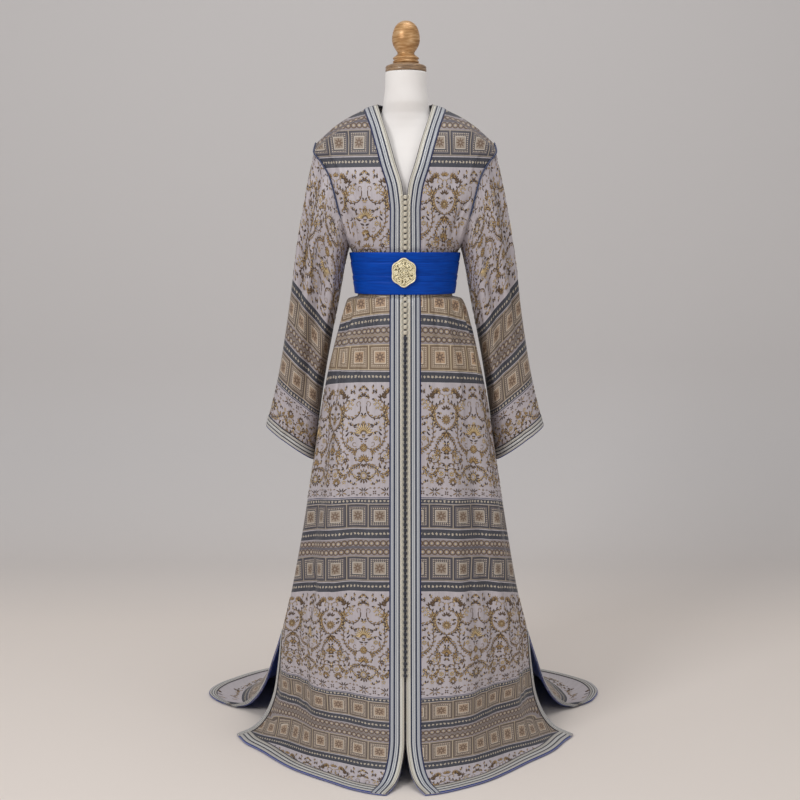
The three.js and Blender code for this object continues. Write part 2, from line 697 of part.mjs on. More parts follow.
// Dress form: a bust with no limbs, on a pole and a round foot that the gown hides.
function addBust() {
  const parts = 22;
  const points = [];
  for (const [z, half, front, back] of FORM_ROWS) {
    for (let i = 0; i < parts; i += 1) {
      const angle = (i / parts) * 2 * Math.PI;
      const depth = Math.cos(angle) > 0 ? front : back;
      points.push(new THREE.Vector3(FORM_X + half * Math.sin(angle), -depth * Math.cos(angle), z));
    }
  }
  addBody('form_bust', points, ringTriangles(FORM_ROWS.length, parts), 'jersey');
}
addBust();

/** A turned piece: a profile of radius and height, from the axis back to the axis. */
function addTurned(name, paint, profile, base, segments, x = FORM_X) {
  const outline = profile.map(([radius, height]) => new THREE.Vector2(radius, height));
  const geometry = new THREE.LatheGeometry(outline, segments);
  geometry.rotateX(Math.PI / 2);
  const mesh = new THREE.Mesh(geometry, new THREE.MeshStandardMaterial(PAINT[paint]));
  mesh.position.set(x, 0, base);
  mesh.name = name;
  kaftan.add(mesh);
}

const capBase = FORM_TOP + SEAM;
addTurned(
  'form_cap',
  'cap',
  [
    [0, 0],
    [CAP_RADIUS - 3, 0],
    [CAP_RADIUS, 3],
    [CAP_RADIUS, 11],
    [CAP_RADIUS - 6, 16],
    [31, CAP_HEIGHT],
    [0, CAP_HEIGHT],
  ],
  capBase,
  24,
);
const finialBase = capBase + CAP_HEIGHT + SEAM;
addTurned(
  'form_finial',
  'finial',
  [
    [0, 0],
    [29, 0],
    [30, 4],
    [27, 8],
    [30, 12],
    [24, 17],
    [19, 22],
    [23, 30],
    [29, 40],
    [FINIAL_RADIUS, 54],
    [30, 70],
    [24, 84],
    [13, 93],
    [0, 96],
  ],
  finialBase,
  20,
);
addTurned(
  'form_pole',
  'steel',
  [
    [0, FOOT_HEIGHT + SEAM],
    [POLE_RADIUS, FOOT_HEIGHT + SEAM],
    [POLE_RADIUS, FORM_LOW - SEAM],
    [0, FORM_LOW - SEAM],
  ],
  0,
  16,
  0,
);
addTurned(
  'form_foot',
  'steel',
  [
    [0, 0],
    [FOOT_RADIUS, 0],
    [FOOT_RADIUS, FOOT_HEIGHT - 6],
    [FOOT_RADIUS - 6, FOOT_HEIGHT],
    [0, FOOT_HEIGHT],
  ],
  0,
  36,
  0,
);

export default kaftan;
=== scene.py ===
import bpy
import numpy as np
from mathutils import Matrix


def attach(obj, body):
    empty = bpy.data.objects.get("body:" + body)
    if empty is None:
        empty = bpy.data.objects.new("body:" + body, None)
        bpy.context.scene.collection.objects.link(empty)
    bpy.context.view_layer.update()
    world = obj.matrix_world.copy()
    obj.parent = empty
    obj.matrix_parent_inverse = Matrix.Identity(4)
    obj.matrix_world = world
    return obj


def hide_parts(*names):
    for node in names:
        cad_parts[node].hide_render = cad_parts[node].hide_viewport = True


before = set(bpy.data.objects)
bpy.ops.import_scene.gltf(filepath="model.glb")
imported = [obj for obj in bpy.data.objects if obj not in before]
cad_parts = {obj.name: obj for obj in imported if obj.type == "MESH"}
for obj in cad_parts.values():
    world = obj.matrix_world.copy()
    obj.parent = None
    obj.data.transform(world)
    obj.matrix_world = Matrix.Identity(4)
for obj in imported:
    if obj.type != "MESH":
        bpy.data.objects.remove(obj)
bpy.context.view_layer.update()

# ---- Fronts ---------------------------------------------------------------------------------
# Two long panels of woven brocade, each cut in one from the shoulder seam to the hem. They meet
# edge to edge at the opening, are held in by the belt, and flare from it in soft standing folds.

# One row for each section from the shoulder to the hem, in millimetres: the opening's edge
# (z, x, y), the outer edge (zo, xo, yo), how far the curve runs on at the first (ke, key) and at
# the second (kox, koy), and how far the middle rises.
FRONT_ROWS = [
    [1480, 62, 8, 1394, 204, 4, 47, 0, -47, 0, 13],
    [1462, 57, -24, 1372, 207, -28, 50, -12, -45, 14, 13],
    [1435, 49, -54, 1345, 188, -52, 45, -22, -34, 27, 10],
    [1395, 36, -82, 1313, 170, -70, 45, -8, -30, 21, 8],
    [1345, 22, -106, 1275, 159, -78, 50, -2, -26, 22, 5],
    [1290, 6, -120, 1235, 149, -78, 55, -1, -27, 26, 2],
    [1240, 1, -124, 1200, 139, -66, 55, 0, -17, 34, 0],
    [1195, 1, -124, 1170, 132, -45, 58, 0, -4, 43, 0],
    [1156, 1, -122, 1156, 128, -10, 66, 0, 0, 62, 0],
    [1146, 1, -118, 1146, 122.5, -3, 66, 0, 0, 63, 0],
    [1100, 1, -115, 1100, 116, 0, 64, 0, 0, 63, 0],
    [1045, 1, -116, 1045, 110, 0, 61, 0, 0, 64, 0],
    [1038, 1, -125, 1038, 131, -4, 72, 0, 0, 68, 0],
    [976, 1, -140, 976, 152, -10, 84, 0, 0, 72, 0],
    [846, 1, -160, 846, 184, -18, 101, 0, 0, 78, 0],
    [660, 1, -187, 660, 214, -25, 118, 0, 0, 89, 0],
    [487, 1, -217, 487, 242, -22, 133, 0, 0, 107, 0],
    [350, 1, -245, 350, 267, -12, 140, 0, 0, 125, 0],
    [240, 1, -271, 240, 294, 5, 148, 0, -12, 136, 0],
    [165, 1, -295, 165, 303, 0, 150, 0, -30, 127, 0],
    [92, 1, -322, 95, 314, -6, 150, 0, -42, 122, 0],
    [40, 8, -350, 44, 335, -20, 150, 2, -48, 112, 0],
    [14, 22, -378, 16, 364, -36, 138, 8, -50, 100, 0],
    [4.5, 41, -407, 4.5, 400, -52, 120, 15, -34, 92, 0],
]
UNDERARM = 8
SLIT = 18
HEM = len(FRONT_ROWS) - 1

# The standing folds of the skirt: place at the belt and at the hem as a share of the width, half
# width in the same share, how far it stands out, and the height where it starts.
FRONT_FOLDS = {
    -1: [
        [0.34, 0.3, 0.075, -7, 900],
        [0.52, 0.5, 0.085, 9, 1030],
        [0.72, 0.7, 0.08, -9, 1000],
        [0.86, 0.84, 0.06, 8, 700],
    ],
    1: [
        [0.3, 0.33, 0.08, 8, 980],
        [0.5, 0.55, 0.08, -8, 1020],
        [0.68, 0.72, 0.075, 9, 860],
        [0.88, 0.87, 0.06, -7, 1000],
    ],
}
# Smaller creases, each put where the cloth pulls: from a share and a height to another, half
# width as a share, and height. Above the belt they run down from the bust and the underarm; below
# it they are the gathers that the belt makes, and the slack folds of the lower skirt.
FRONT_CREASES = {
    -1: [
        [0.92, 1262, 0.62, 1150, 0.05, -6.0],
        [0.99, 1225, 0.78, 1152, 0.045, 5.5],
        [0.7, 1330, 0.5, 1170, 0.06, -3.2],
        [0.5, 1206, 0.46, 1144, 0.03, -3.0],
        [0.36, 1188, 0.37, 1144, 0.025, 2.6],
        [0.84, 1390, 0.8, 1290, 0.05, 2.8],
        [0.3, 1044, 0.33, 905, 0.022, 4.8],
        [0.42, 1044, 0.4, 800, 0.026, -5.4],
        [0.57, 1044, 0.6, 850, 0.024, 6.3],
        [0.68, 1044, 0.64, 700, 0.03, -6.6],
        [0.8, 1044, 0.79, 820, 0.026, 6.9],
        [0.91, 1044, 0.93, 760, 0.03, -3.4],
        [0.44, 560, 0.4, 60, 0.04, 7.5],
        [0.62, 470, 0.6, 30, 0.045, -9.8],
        [0.8, 380, 0.77, 25, 0.04, 8.2],
        [0.22, 420, 0.24, 40, 0.035, -4.5],
    ],
    1: [
        [0.9, 1270, 0.58, 1152, 0.05, -5.2],
        [0.98, 1230, 0.74, 1150, 0.04, 5.0],
        [0.62, 1345, 0.42, 1176, 0.055, -2.8],
        [0.44, 1198, 0.42, 1144, 0.028, 2.8],
        [0.55, 1190, 0.53, 1144, 0.026, -2.6],
        [0.8, 1380, 0.83, 1285, 0.045, 2.4],
        [0.33, 1044, 0.3, 860, 0.024, -4.5],
        [0.45, 1044, 0.47, 720, 0.028, 6.0],
        [0.6, 1044, 0.57, 880, 0.022, -5.4],
        [0.7, 1044, 0.73, 790, 0.026, 6.3],
        [0.82, 1044, 0.8, 690, 0.028, -4.6],
        [0.93, 1044, 0.9, 860, 0.026, 3.2],
        [0.4, 520, 0.43, 40, 0.04, -7.5],
        [0.58, 600, 0.62, 60, 0.045, 9.0],
        [0.78, 430, 0.8, 20, 0.04, -9.0],
        [0.25, 350, 0.23, 30, 0.035, 5.1],
    ],
}
CLOTH_WALL = 1.2
ROLL_AT_FOLD = 420  # height over which a fold grows to its full size


def rows_at(rows, place):
    """Each column of a table at places between its rows. A cubic between two rows, whose slope at a
    row is the harmonic mean of the steps before and after it, or 0 where they turn."""
    rows = np.asarray(rows, float)
    steps = np.diff(rows, axis=0)
    before, after = steps[:-1], steps[1:]
    same = before * after > 0
    inner = np.where(same, 2 * before * after / np.where(same, before + after, 1), 0)
    slope = np.concatenate([steps[:1], inner, steps[-1:]])
    place = np.asarray(place, float)
    row = np.clip(np.floor(place).astype(int), 0, len(rows) - 2)
    t = (place - row)[..., None]
    value = (
        rows[row] * (1 + 2 * t) * (1 - t) ** 2
        + rows[row + 1] * t * t * (3 - 2 * t)
        + slope[row] * t * (1 - t) ** 2
        - slope[row + 1] * t * t * (1 - t)
    )
    return np.moveaxis(value, -1, 0)


def soft(low, high, value):
    """0 below low, 1 above high, and 3t2 - 2t3 between them."""
    t = np.clip((value - low) / (high - low), 0, 1)
    return t * t * (3 - 2 * t)


def bezier(a, b, c, d, t):
    """The cubic curve a(1-t)3 + 3bt(1-t)2 + 3ct2(1-t) + dt3."""
    return a * (1 - t) ** 3 + 3 * b * t * (1 - t) ** 2 + 3 * c * t * t * (1 - t) + d * t**3


def fold_height(folds, share, z):
    """The sum of the standing folds: height x growth below its start x exp(-(distance/spread)2)."""
    out = 0
    for top, hem, spread, height, start in folds:
        middle = hem + (top - hem) * z / 1050
        grown = soft(0, 1, (start - z) / ROLL_AT_FOLD) * (0.35 + 0.65 * soft(10, 140, z))
        out = out + height * grown * np.exp(-(((share - middle) / spread) ** 2))
    return out


def crease_height(creases, share, z):
    """The sum of the creases: each swells and dies away along its line, steeper on one flank."""
    out = 0
    for s0, z0, s1, z1, spread, height in creases:
        t = (z0 - z) / (z0 - z1)
        middle = s0 + (s1 - s0) * t + 0.012 * np.sin(5 * t + 9 * s0)
        along = soft(-0.02, 0.22, t) * (1 - soft(0.55, 1.02, t))
        off = (share - middle) / spread
        out = out + height * along * np.exp(-np.where(off > 0, 1.7 * off, 0.8 * off) ** 2)
    return out


def front_surface(side):
    """A front at share 0 (opening) to 1 (outer edge) and a place along its rows: a cubic curve in
    plan between its two edges, with the folds and creases pushed out along the curve's normal."""

    def surface(share, place):
        z, x, y, zo, xo, yo, ke, key, kox, koy, rise = rows_at(FRONT_ROWS, place)
        share = share + 0 * z

        def plan(t):
            return bezier(x, x + ke, xo + kox, xo, t), bezier(y, y + key, yo - koy, yo, t)

        px, py = plan(share)
        pz = z + (zo - z) * share + rise * 4 * share * (1 - share)
        ax, ay = plan(share - 0.01)
        bx, by = plan(share + 0.01)
        run = np.hypot(bx - ax, by - ay) + 1e-9
        out = fold_height(FRONT_FOLDS[side], share, pz)
        out = out * soft(0.14, 0.28, share) * (1 - soft(0.88, 0.99, share))
        crease = crease_height(FRONT_CREASES[side], share, pz)
        out = out + crease * soft(0.16, 0.24, share) * (1 - soft(0.95, 1, share))
        return np.stack([side * (px + out * (by - ay) / run), py - out * (bx - ax) / run, pz], -1)

    return surface


def normals_of(surface, u, v, sign):
    """Unit normals: the cross product of two short steps across and along the surface."""
    across = surface(u + 0.003, v) - surface(u - 0.003, v)
    down = surface(u, v + 0.03) - surface(u, v - 0.03)
    normal = np.cross(across, down) * sign
    return normal / (np.linalg.norm(normal, axis=-1, keepdims=True) + 1e-12)


# The woven repeat along the grain and the repeat of its figures across it.
REPEAT = 486
FIGURE_WIDTH = 162
# Length down the opening's edge, and the woven length that lies there, so that the bands cross
# the panels at the heights where they were matched.
GRAIN = [[0, 405, 891, 1330, 1481, 1560], [-405, 0, REPEAT, 2 * REPEAT, 1199, 1309]]
# Above this height the run down the grain is the height lost; below it, the length of the line.
FALL_FROM = 1156


def steps_along(points, axis):
    """Running length of a grid's lines along one axis, from 0."""
    length = np.linalg.norm(np.diff(points, axis=axis), axis=-1)
    start = np.zeros_like(np.take(length, [0], axis))
    return np.concatenate([start, np.cumsum(length, axis=axis)], axis)


def body_panel(surface, shares, places, sign, middle, start):
    """A panel of the body on a grid, with the woven lengths across and down at each point. Across
    is the running length from the middle column. Down follows the middle column, rises with the
    height lost, and falls with the square of across, as the grain drops at a flared side."""
    v, u = np.meshgrid(places, shares, indexing="ij")
    points = surface(u, v)
    across = steps_along(points, 1)
    across = across - across[:, [middle]] + start * np.abs(points[:, [middle], 0])
    line = points[:, middle]
    fall = -np.diff(line[:, 2])
    run = np.where(line[1:, 2] > FALL_FROM, fall, np.linalg.norm(np.diff(line, axis=0), axis=1))
    down = np.interp(np.concatenate([[0], np.cumsum(run)]), *GRAIN)
    width = np.abs(across).max(1) + 1e-9
    flare = np.clip(np.gradient(width) / (np.gradient(down) + 1e-9), 0, 0.34)
    drop = (flare / (2 * width))[:, None] * across**2
    down = down[:, None] + (line[:, 2][:, None] - points[..., 2]) - drop
    return {
        "surface": surface,
        "sign": sign,
        "u": shares,
        "v": places,
        "points": points,
        "normals": normals_of(surface, u, v, sign),
        "across": across,
        "down": down,
    }


def grid_faces(rows, columns, closed, flip):
    """Quads of a grid, each with its corner, the next across, the one below that and the one below."""
    wide = columns if closed else columns - 1
    row, column = np.meshgrid(np.arange(rows - 1), np.arange(wide), indexing="ij")
    a = row * columns + column
    b = row * columns + (column + 1) % columns
    quads = np.stack([a, b, b + columns, a + columns], -1).reshape(-1, 4)
    return quads[:, ::-1] if flip else quads


def make_piece(name, points, faces, material, replaces=()):
    """A mesh from points in millimetres, put in metres, smooth, riding on the root body."""
    mesh = bpy.data.meshes.new(name)
    mesh.from_pydata((np.asarray(points).reshape(-1, 3) * 0.001).tolist(), [], faces)
    mesh.polygons.foreach_set("use_smooth", np.ones(len(mesh.polygons), bool))
    mesh.materials.append(material)
    mesh.update()
    piece = bpy.data.objects.new(name, mesh)
    bpy.context.scene.collection.objects.link(piece)
    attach(piece, "root")
    if replaces:
        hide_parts(*replaces)
    return piece


def lay_map(piece, name, u, v):
    """A UV map whose loops take the value of their vertex."""
    layer = piece.data.uv_layers.new(name=name)
    corner = np.zeros(len(piece.data.loops), np.int32)
    piece.data.loops.foreach_get("vertex_index", corner)
    layer.data.foreach_set("uv", np.stack([u.ravel(), v.ravel()], -1)[corner].ravel())


def tone(text):
    """An sRGB hex colour as linear RGBA: v/12.92 below 0.04045, else ((v + 0.055)/1.055)^2.4."""
    value = np.array([int(text[i : i + 2], 16) for i in (1, 3, 5)]) / 255
    linear = np.where(value <= 0.04045, value / 12.92, ((value + 0.055) / 1.055) ** 2.4)
    return (*linear.tolist(), 1.0)


def put(tree, kind, inputs=(), stops=None, **settings):
    """Adds one shader node, sets it and links it, and gives back its first live output. inputs is
    a list in socket order or a dict by socket name, of values and of other nodes' outputs."""
    made = tree.nodes.new("ShaderNode" + kind)
    for key, value in settings.items():
        setattr(made, key, value)
    if stops:
        ramp = made.color_ramp
        while len(ramp.elements) < len(stops):
            ramp.elements.new(0.5)
        for element, (place, colour) in zip(ramp.elements, stops):
            element.position = place
        for element, (place, colour) in zip(ramp.elements, stops):
            element.color = tone(colour)
    live = [socket for socket in made.inputs if socket.enabled]
    named = inputs.items() if isinstance(inputs, dict) else zip(range(len(live)), inputs)
    for key, value in named:
        socket = made.inputs[key] if isinstance(key, str) else live[key]
        if isinstance(value, bpy.types.NodeSocket):
            tree.links.new(value, socket)
        elif isinstance(value, str):
            socket.default_value = tone(value)
        else:
            socket.default_value = value
    return next(iter([socket for socket in made.outputs if socket.enabled]), None)


def start_material(name):
    """An empty node material and its tree."""
    material = bpy.data.materials.new(name)
    material.use_nodes = True
    material.node_tree.nodes.clear()
    return material, material.node_tree


# Woven brocade: a satin ground of pale lilac with figured bands in taupe, navy-grey, cream and
# dull gold thread. The satin gives a soft sheen along the grain; the bands are flatter.
brocade, t = start_material("woven_brocade")
lengths = put(t, "SeparateXYZ", [put(t, "UVMap", uv_map="weave")]).node
u = put(t, "Math", [lengths.outputs[0], 1000.0], operation="MULTIPLY")
v = put(t, "Math", [lengths.outputs[1], 1000.0], operation="MULTIPLY")
row = put(t, "Math", [v, float(REPEAT)], operation="FLOORED_MODULO")
# Golden threads take the place of the grey ones in the repeat below the belt, and half of them in
# the repeats after 960 mm: the foot of the skirt and the sleeves.
golden = put(t, "Math", [v, 110.0, 134.0], operation="COMPARE")
dull_gold = put(t, "Math", [v, 960.0], operation="GREATER_THAN")
golden = put(t, "Math", [dull_gold, 0.5, golden], operation="MULTIPLY_ADD")
# Bands across the grain: pale edge lines, navy-grey bands, framed squares, chain, and the ground.
bands = put(
    t,
    "ValToRGB",
    [put(t, "Math", [row, float(REPEAT)], operation="DIVIDE")],
    stops=[
        (0.0, "#aca5aa"),
        (1.4 / 486, "#3b3c46"),
        (12.6 / 486, "#b9b2b6"),
        (14.4 / 486, "#655f63"),
        (73 / 486, "#b9b2b6"),
        (75.5 / 486, "#3a3b45"),
        (98 / 486, "#b6afb3"),
        (100 / 486, "#9a9196"),
        (142 / 486, "#655f63"),
        (202 / 486, "#b9b2b6"),
        (204.4 / 486, "#393a44"),
        (227 / 486, "#b9b2b6"),
        (229 / 486, "#b2aaaf"),
        (483.2 / 486, "#41455e"),
    ],
)
bands.node.color_ramp.interpolation = "CONSTANT"
# Framed squares, 54 mm apart: the larger of the distances from the middle sets the frame's line.
across = put(t, "Math", [u, 12.0], operation="ADD")
across = put(t, "Math", [across, 54.0], operation="FLOORED_MODULO")
across = put(t, "Math", [across, 27.0], operation="SUBTRACT")
down = put(t, "Math", [row, 20.75], operation="ADD")
down = put(t, "Math", [down, 128.5], operation="FLOORED_MODULO")
down = put(t, "Math", [down, 64.25], operation="SUBTRACT")
side_off = put(t, "Math", [across], operation="ABSOLUTE")
down_off = put(t, "Math", [down], operation="ABSOLUTE")
level = put(t, "Math", [down_off, 0.93], operation="MULTIPLY")
square = put(t, "Math", [side_off, level], operation="MAXIMUM")
square_share = put(t, "Math", [square, 28.0], operation="DIVIDE")
cool_square = put(
    t,
    "ValToRGB",
    [square_share],
    stops=[
        (0.0, "#958779"),
        (0.42, "#b9aea3"),
        (0.5, "#2f2e36"),
        (0.54, "#544d51"),
        (0.73, "#8c8485"),
        (0.76, "#3f3c44"),
        (0.92, "#9d9081"),
    ],
)
warm_square = put(
    t,
    "ValToRGB",
    [square_share],
    stops=[
        (0.0, "#a98d72"),
        (0.42, "#cbbba8"),
        (0.5, "#5f4d3c"),
        (0.54, "#8a7765"),
        (0.73, "#b8a794"),
        (0.76, "#75624e"),
        (0.92, "#bfad92"),
    ],
)
cool_square.node.color_ramp.interpolation = "CONSTANT"
warm_square.node.color_ramp.interpolation = "CONSTANT"
squares = put(t, "Mix", [golden, cool_square, warm_square], data_type="RGBA")
in_square = put(t, "Math", [down_off, 29.4], operation="LESS_THAN")
in_rows = put(t, "Math", [row, 204.0], operation="LESS_THAN")
in_square = put(t, "Math", [in_square, in_rows], operation="MULTIPLY")
# A small eight-petalled flower in each square.
centre = put(t, "CombineXYZ", [across, down, 0.0])
radius = put(t, "VectorMath", [centre], operation="LENGTH")
turn = put(t, "Math", [down, across], operation="ARCTAN2")
turn = put(t, "Math", [turn, 8.0], operation="MULTIPLY")
turn = put(t, "Math", [turn], operation="COSINE")
reach = put(t, "Math", [turn, 3.2, 8.4], operation="MULTIPLY_ADD")
flower = put(t, "Math", [radius, reach], operation="LESS_THAN")
eye = put(t, "Math", [radius, 2.6], operation="GREATER_THAN")
flower = put(t, "Math", [flower, eye], operation="MULTIPLY")
squares = put(t, "Mix", [flower, squares, "#6d5747"], data_type="RGBA")
# Pale dots in the squares' frames, one stitch every 4.5 mm.
dot_u = put(t, "Math", [u, 4.5], operation="FLOORED_MODULO")
dot_v = put(t, "Math", [v, 4.5], operation="FLOORED_MODULO")
dot_at = put(t, "CombineXYZ", [dot_u, dot_v, 0.0])
dot_far = put(t, "VectorMath", [dot_at, (2.25, 2.25, 0.0)], operation="DISTANCE")
dot = put(t, "Math", [dot_far, 1.25], operation="LESS_THAN")
in_frame = put(t, "Math", [square, 17.8, 2.7], operation="COMPARE")
dot = put(t, "Math", [dot, in_frame], operation="MULTIPLY")
squares = put(t, "Mix", [dot, squares, "#c0b29f"], data_type="RGBA")
colour = put(t, "Mix", [in_square, bands, squares], data_type="RGBA")
# The chain: two rows of linked rings, 13.5 mm apart, half a step out of line with each other.
chain_ground = put(t, "Mix", [golden, "#5f5a61", "#8f8071"], data_type="RGBA")
between_rows = put(t, "Math", [row, 121.0, 3.0], operation="COMPARE")
in_chain = put(t, "Math", [row, 121.0, 21.0], operation="COMPARE")
chain = put(t, "Mix", [between_rows, "#8d8486", chain_ground], data_type="RGBA")
for shift, line in ((0.0, 110.5), (6.75, 131.5)):
    ring_u = put(t, "Math", [u, shift], operation="ADD")
    ring_u = put(t, "Math", [ring_u, 13.5], operation="FLOORED_MODULO")
    ring_at = put(t, "CombineXYZ", [ring_u, row, 0.0])
    ring_far = put(t, "VectorMath", [ring_at, (6.75, line, 0.0)], operation="DISTANCE")
    ring = put(t, "Math", [ring_far, 6.1, 1.5], operation="COMPARE")
    bead = put(t, "Math", [ring_far, 2.3], operation="LESS_THAN")
    chain = put(t, "Mix", [ring, chain, "#5d4936"], data_type="RGBA")
    chain = put(t, "Mix", [bead, chain, "#bda985"], data_type="RGBA")
colour = put(t, "Mix", [in_chain, colour, chain], data_type="RGBA")
# A row of small uneven leaves along the middle of each navy band, one every 9 mm.
leaf_at = put(t, "CombineXYZ", [u, v, 0.0])
leaf_edge = put(t, "TexNoise", {"Vector": leaf_at, "Scale": 0.4, "Detail": 2.0})
leaf_edge = put(t, "MapRange", [leaf_edge, 0.35, 0.65, 1.3, 3.9])
for line in (7.0, 87.0, 215.8):
    bead_u = put(t, "Math", [u, 9.0], operation="FLOORED_MODULO")
    bead_at = put(t, "CombineXYZ", [bead_u, row, 0.0])
    bead_far = put(t, "VectorMath", [bead_at, (4.5, line, 0.0)], operation="DISTANCE")
    bead = put(t, "Math", [bead_far, leaf_edge], operation="LESS_THAN")
    colour = put(t, "Mix", [bead, colour, "#b3a898"], data_type="RGBA")
# Slubs in the satin: long faint streaks along the grain, about 7 mm apart.
streak_at = put(t, "CombineXYZ", [u, put(t, "Math", [v, 0.045], operation="MULTIPLY"), 0.0])
streak = put(t, "TexNoise", {"Vector": streak_at, "Scale": 0.14, "Detail": 4.0, "Roughness": 0.6})
streak = put(t, "MapRange", [streak, 0.3, 0.7, 0.88, 1.07])
colour = put(
    t, "Mix", [1.0, colour, put(t, "CombineColor", [streak, streak, streak])],
    data_type="RGBA", blend_type="MULTIPLY",
)
# Threads are 0.3 mm in the real cloth; the grain of the weave is drawn at 1.6 mm so that it shows.
thread_at = put(t, "CombineXYZ", [u, v, 0.0])
thread = put(t, "TexNoise", {"Vector": thread_at, "Scale": 0.62, "Detail": 2.0})
twill = put(t, "TexWave", {"Vector": thread_at, "Scale": 0.2, "Distortion": 1.2}, bands_direction="DIAGONAL")
relief = put(t, "Math", [thread, twill], operation="ADD")
figured = put(t, "Math", [row, 229.0], operation="LESS_THAN")
depth = put(t, "Math", [figured, 0.5, 0.5], operation="MULTIPLY_ADD")
relief = put(t, "Math", [relief, depth], operation="MULTIPLY")
bump = put(t, "Bump", {"Strength": 0.35, "Distance": 0.0006, "Height": relief})
rough = put(t, "Math", [figured, 0.16, 0.37], operation="MULTIPLY_ADD")
shader = put(
    t,
    "BsdfPrincipled",
    {
        "Base Color": colour,
        "Roughness": rough,
        "Normal": bump,
        "Sheen Weight": 0.1,
        "Sheen Roughness": 0.4,
        "Specular IOR Level": 0.5,
    },
)
put(t, "OutputMaterial", {"Surface": shader})

FRONT_SHARES = np.concatenate([np.linspace(0, 0.2, 11)[:-1], np.linspace(0.2, 1, 62)])
BODY_PLACES = np.concatenate([np.linspace(0.012, 12, 80)[:-1], np.linspace(12, HEM, 140)])
# The figures' axis stands this far from the opening's line on each front.
FRONT_AXIS = {-1: 96, 1: 12}


def wall(piece, thickness):
    """A thin wall built inwards from the face."""
    solid = piece.modifiers.new("wall", "SOLIDIFY")
    solid.thickness = thickness * 0.001
    solid.offset = -1
    solid.use_even_offset = False


panels = {}
for side, hand in ((-1, "left"), (1, "right")):
    panel = body_panel(front_surface(side), FRONT_SHARES, BODY_PLACES, -side, 0, 1)
    panel["axis"] = FRONT_AXIS[side]
    panels["front_" + hand] = panel
    rows, columns = panel["across"].shape
    faces = grid_faces(rows, columns, False, side > 0).tolist()
    piece = make_piece("kaftan_front_" + hand, panel["points"], faces, brocade, ["front_" + hand])
    lay_map(piece, "weave", (panel["across"] - panel["axis"]) / 1000, panel["down"] / 1000)
    wall(piece, CLOTH_WALL)

# ---- Back -----------------------------------------------------------------------------------
# One wide panel of the same brocade, with a round neckline, sewn to the fronts at the shoulders
# and down the sides to the slits. Its hem spreads on the ground behind as a short train.

# The middle of the back (z, y), the outer edge (zo, xo, yo), how far the curve runs on from the
# middle (kc) and at the outer edge (kox, koy), and how far it rises between them.
BACK_ROWS = [
    [1482, 68, 1394, 204, 4, 48, -48, 0, 0],
    [1462, 75, 1372, 207, 28, 80, -45, 14, 20],
    [1435, 85, 1345, 190, 52, 70, -30, 18, 14],
    [1395, 93, 1313, 172, 70, 62, -30, 18, 8],
    [1345, 100, 1275, 160, 78, 60, -28, 18, 4],
    [1290, 103, 1235, 150, 78, 60, -26, 20, 2],
    [1240, 101, 1200, 140, 62, 62, -14, 28, 0],
    [1195, 97, 1170, 132, 34, 66, -3, 38, 0],
    [1156, 93, 1156, 128, -10, 70, 0, 56, 0],
    [1146, 89, 1146, 122.5, -3, 66, 0, 51, 0],
    [1100, 87, 1100, 116, 0, 64, 0, 48, 0],
    [1045, 88, 1045, 110, 0, 61, 0, 48, 0],
    [1038, 98, 1038, 131, -4, 72, 0, 57, 0],
    [976, 122, 976, 152, -10, 84, 0, 73, 0],
    [846, 158, 846, 184, -18, 101, 0, 97, 0],
    [660, 205, 660, 214, -25, 118, 0, 127, 0],
    [487, 250, 487, 242, -22, 133, 0, 150, 0],
    [350, 292, 350, 267, -12, 147, 0, 167, 0],
    [240, 330, 240, 294, 5, 165, 0, 175, 0],
    [165, 362, 165, 318, 18, 185, 6, 175, 0],
    [92, 402, 95, 342, 52, 215, 16, 172, 0],
    [40, 440, 44, 370, 90, 250, 56, 168, 0],
    [14, 484, 16, 396, 118, 290, 140, 165, 0],
    [4.5, 560, 4.5, 425, 138, 320, 240, 162, 0],
]
NECK_SHARE = 0.32  # the neckline's share of half the top edge
NECK_POINT = np.array([62, 8, 1480])
BACK_FOLDS = [
    [-0.78, -0.8, 0.07, 12, 900],
    [-0.55, -0.58, 0.08, -13, 1020],
    [-0.33, -0.34, 0.075, 15, 980],
    [-0.1, -0.09, 0.08, -14, 1030],
    [0.16, 0.17, 0.075, 14, 1000],
    [0.4, 0.41, 0.08, -13, 940],
    [0.62, 0.64, 0.07, 14, 1025],
    [0.83, 0.84, 0.055, -9, 880],
]
BACK_CREASES = [
    [-0.9, 1290, -0.6, 1152, 0.05, -6],
    [-0.6, 1330, -0.42, 1160, 0.05, 4],
    [-0.2, 1300, -0.16, 1150, 0.05, -3.5],
    [0.14, 1260, 0.1, 1148, 0.04, 3],
    [0.5, 1340, 0.38, 1156, 0.05, -4.5],
    [0.92, 1280, 0.64, 1150, 0.05, 6],
    [-0.86, 1044, -0.88, 830, 0.02, 4.5],
    [-0.68, 1044, -0.66, 760, 0.022, -6.0],
    [-0.44, 1044, -0.46, 880, 0.02, 7.5],
    [-0.22, 1044, -0.2, 700, 0.022, 6.0],
    [0.03, 1044, 0.05, 820, 0.02, -7.5],
    [0.28, 1044, 0.26, 740, 0.022, 6.8],
    [0.5, 1044, 0.52, 860, 0.02, -6.0],
    [0.73, 1044, 0.71, 780, 0.022, -6.8],
    [0.92, 1044, 0.93, 880, 0.02, 4],
    [-0.46, 500, -0.48, 40, 0.03, 9.0],
    [-0.22, 420, -0.2, 60, 0.03, -9.0],
    [0.3, 480, 0.31, 50, 0.03, 10.5],
    [0.52, 380, 0.5, 30, 0.03, -9.0],
]


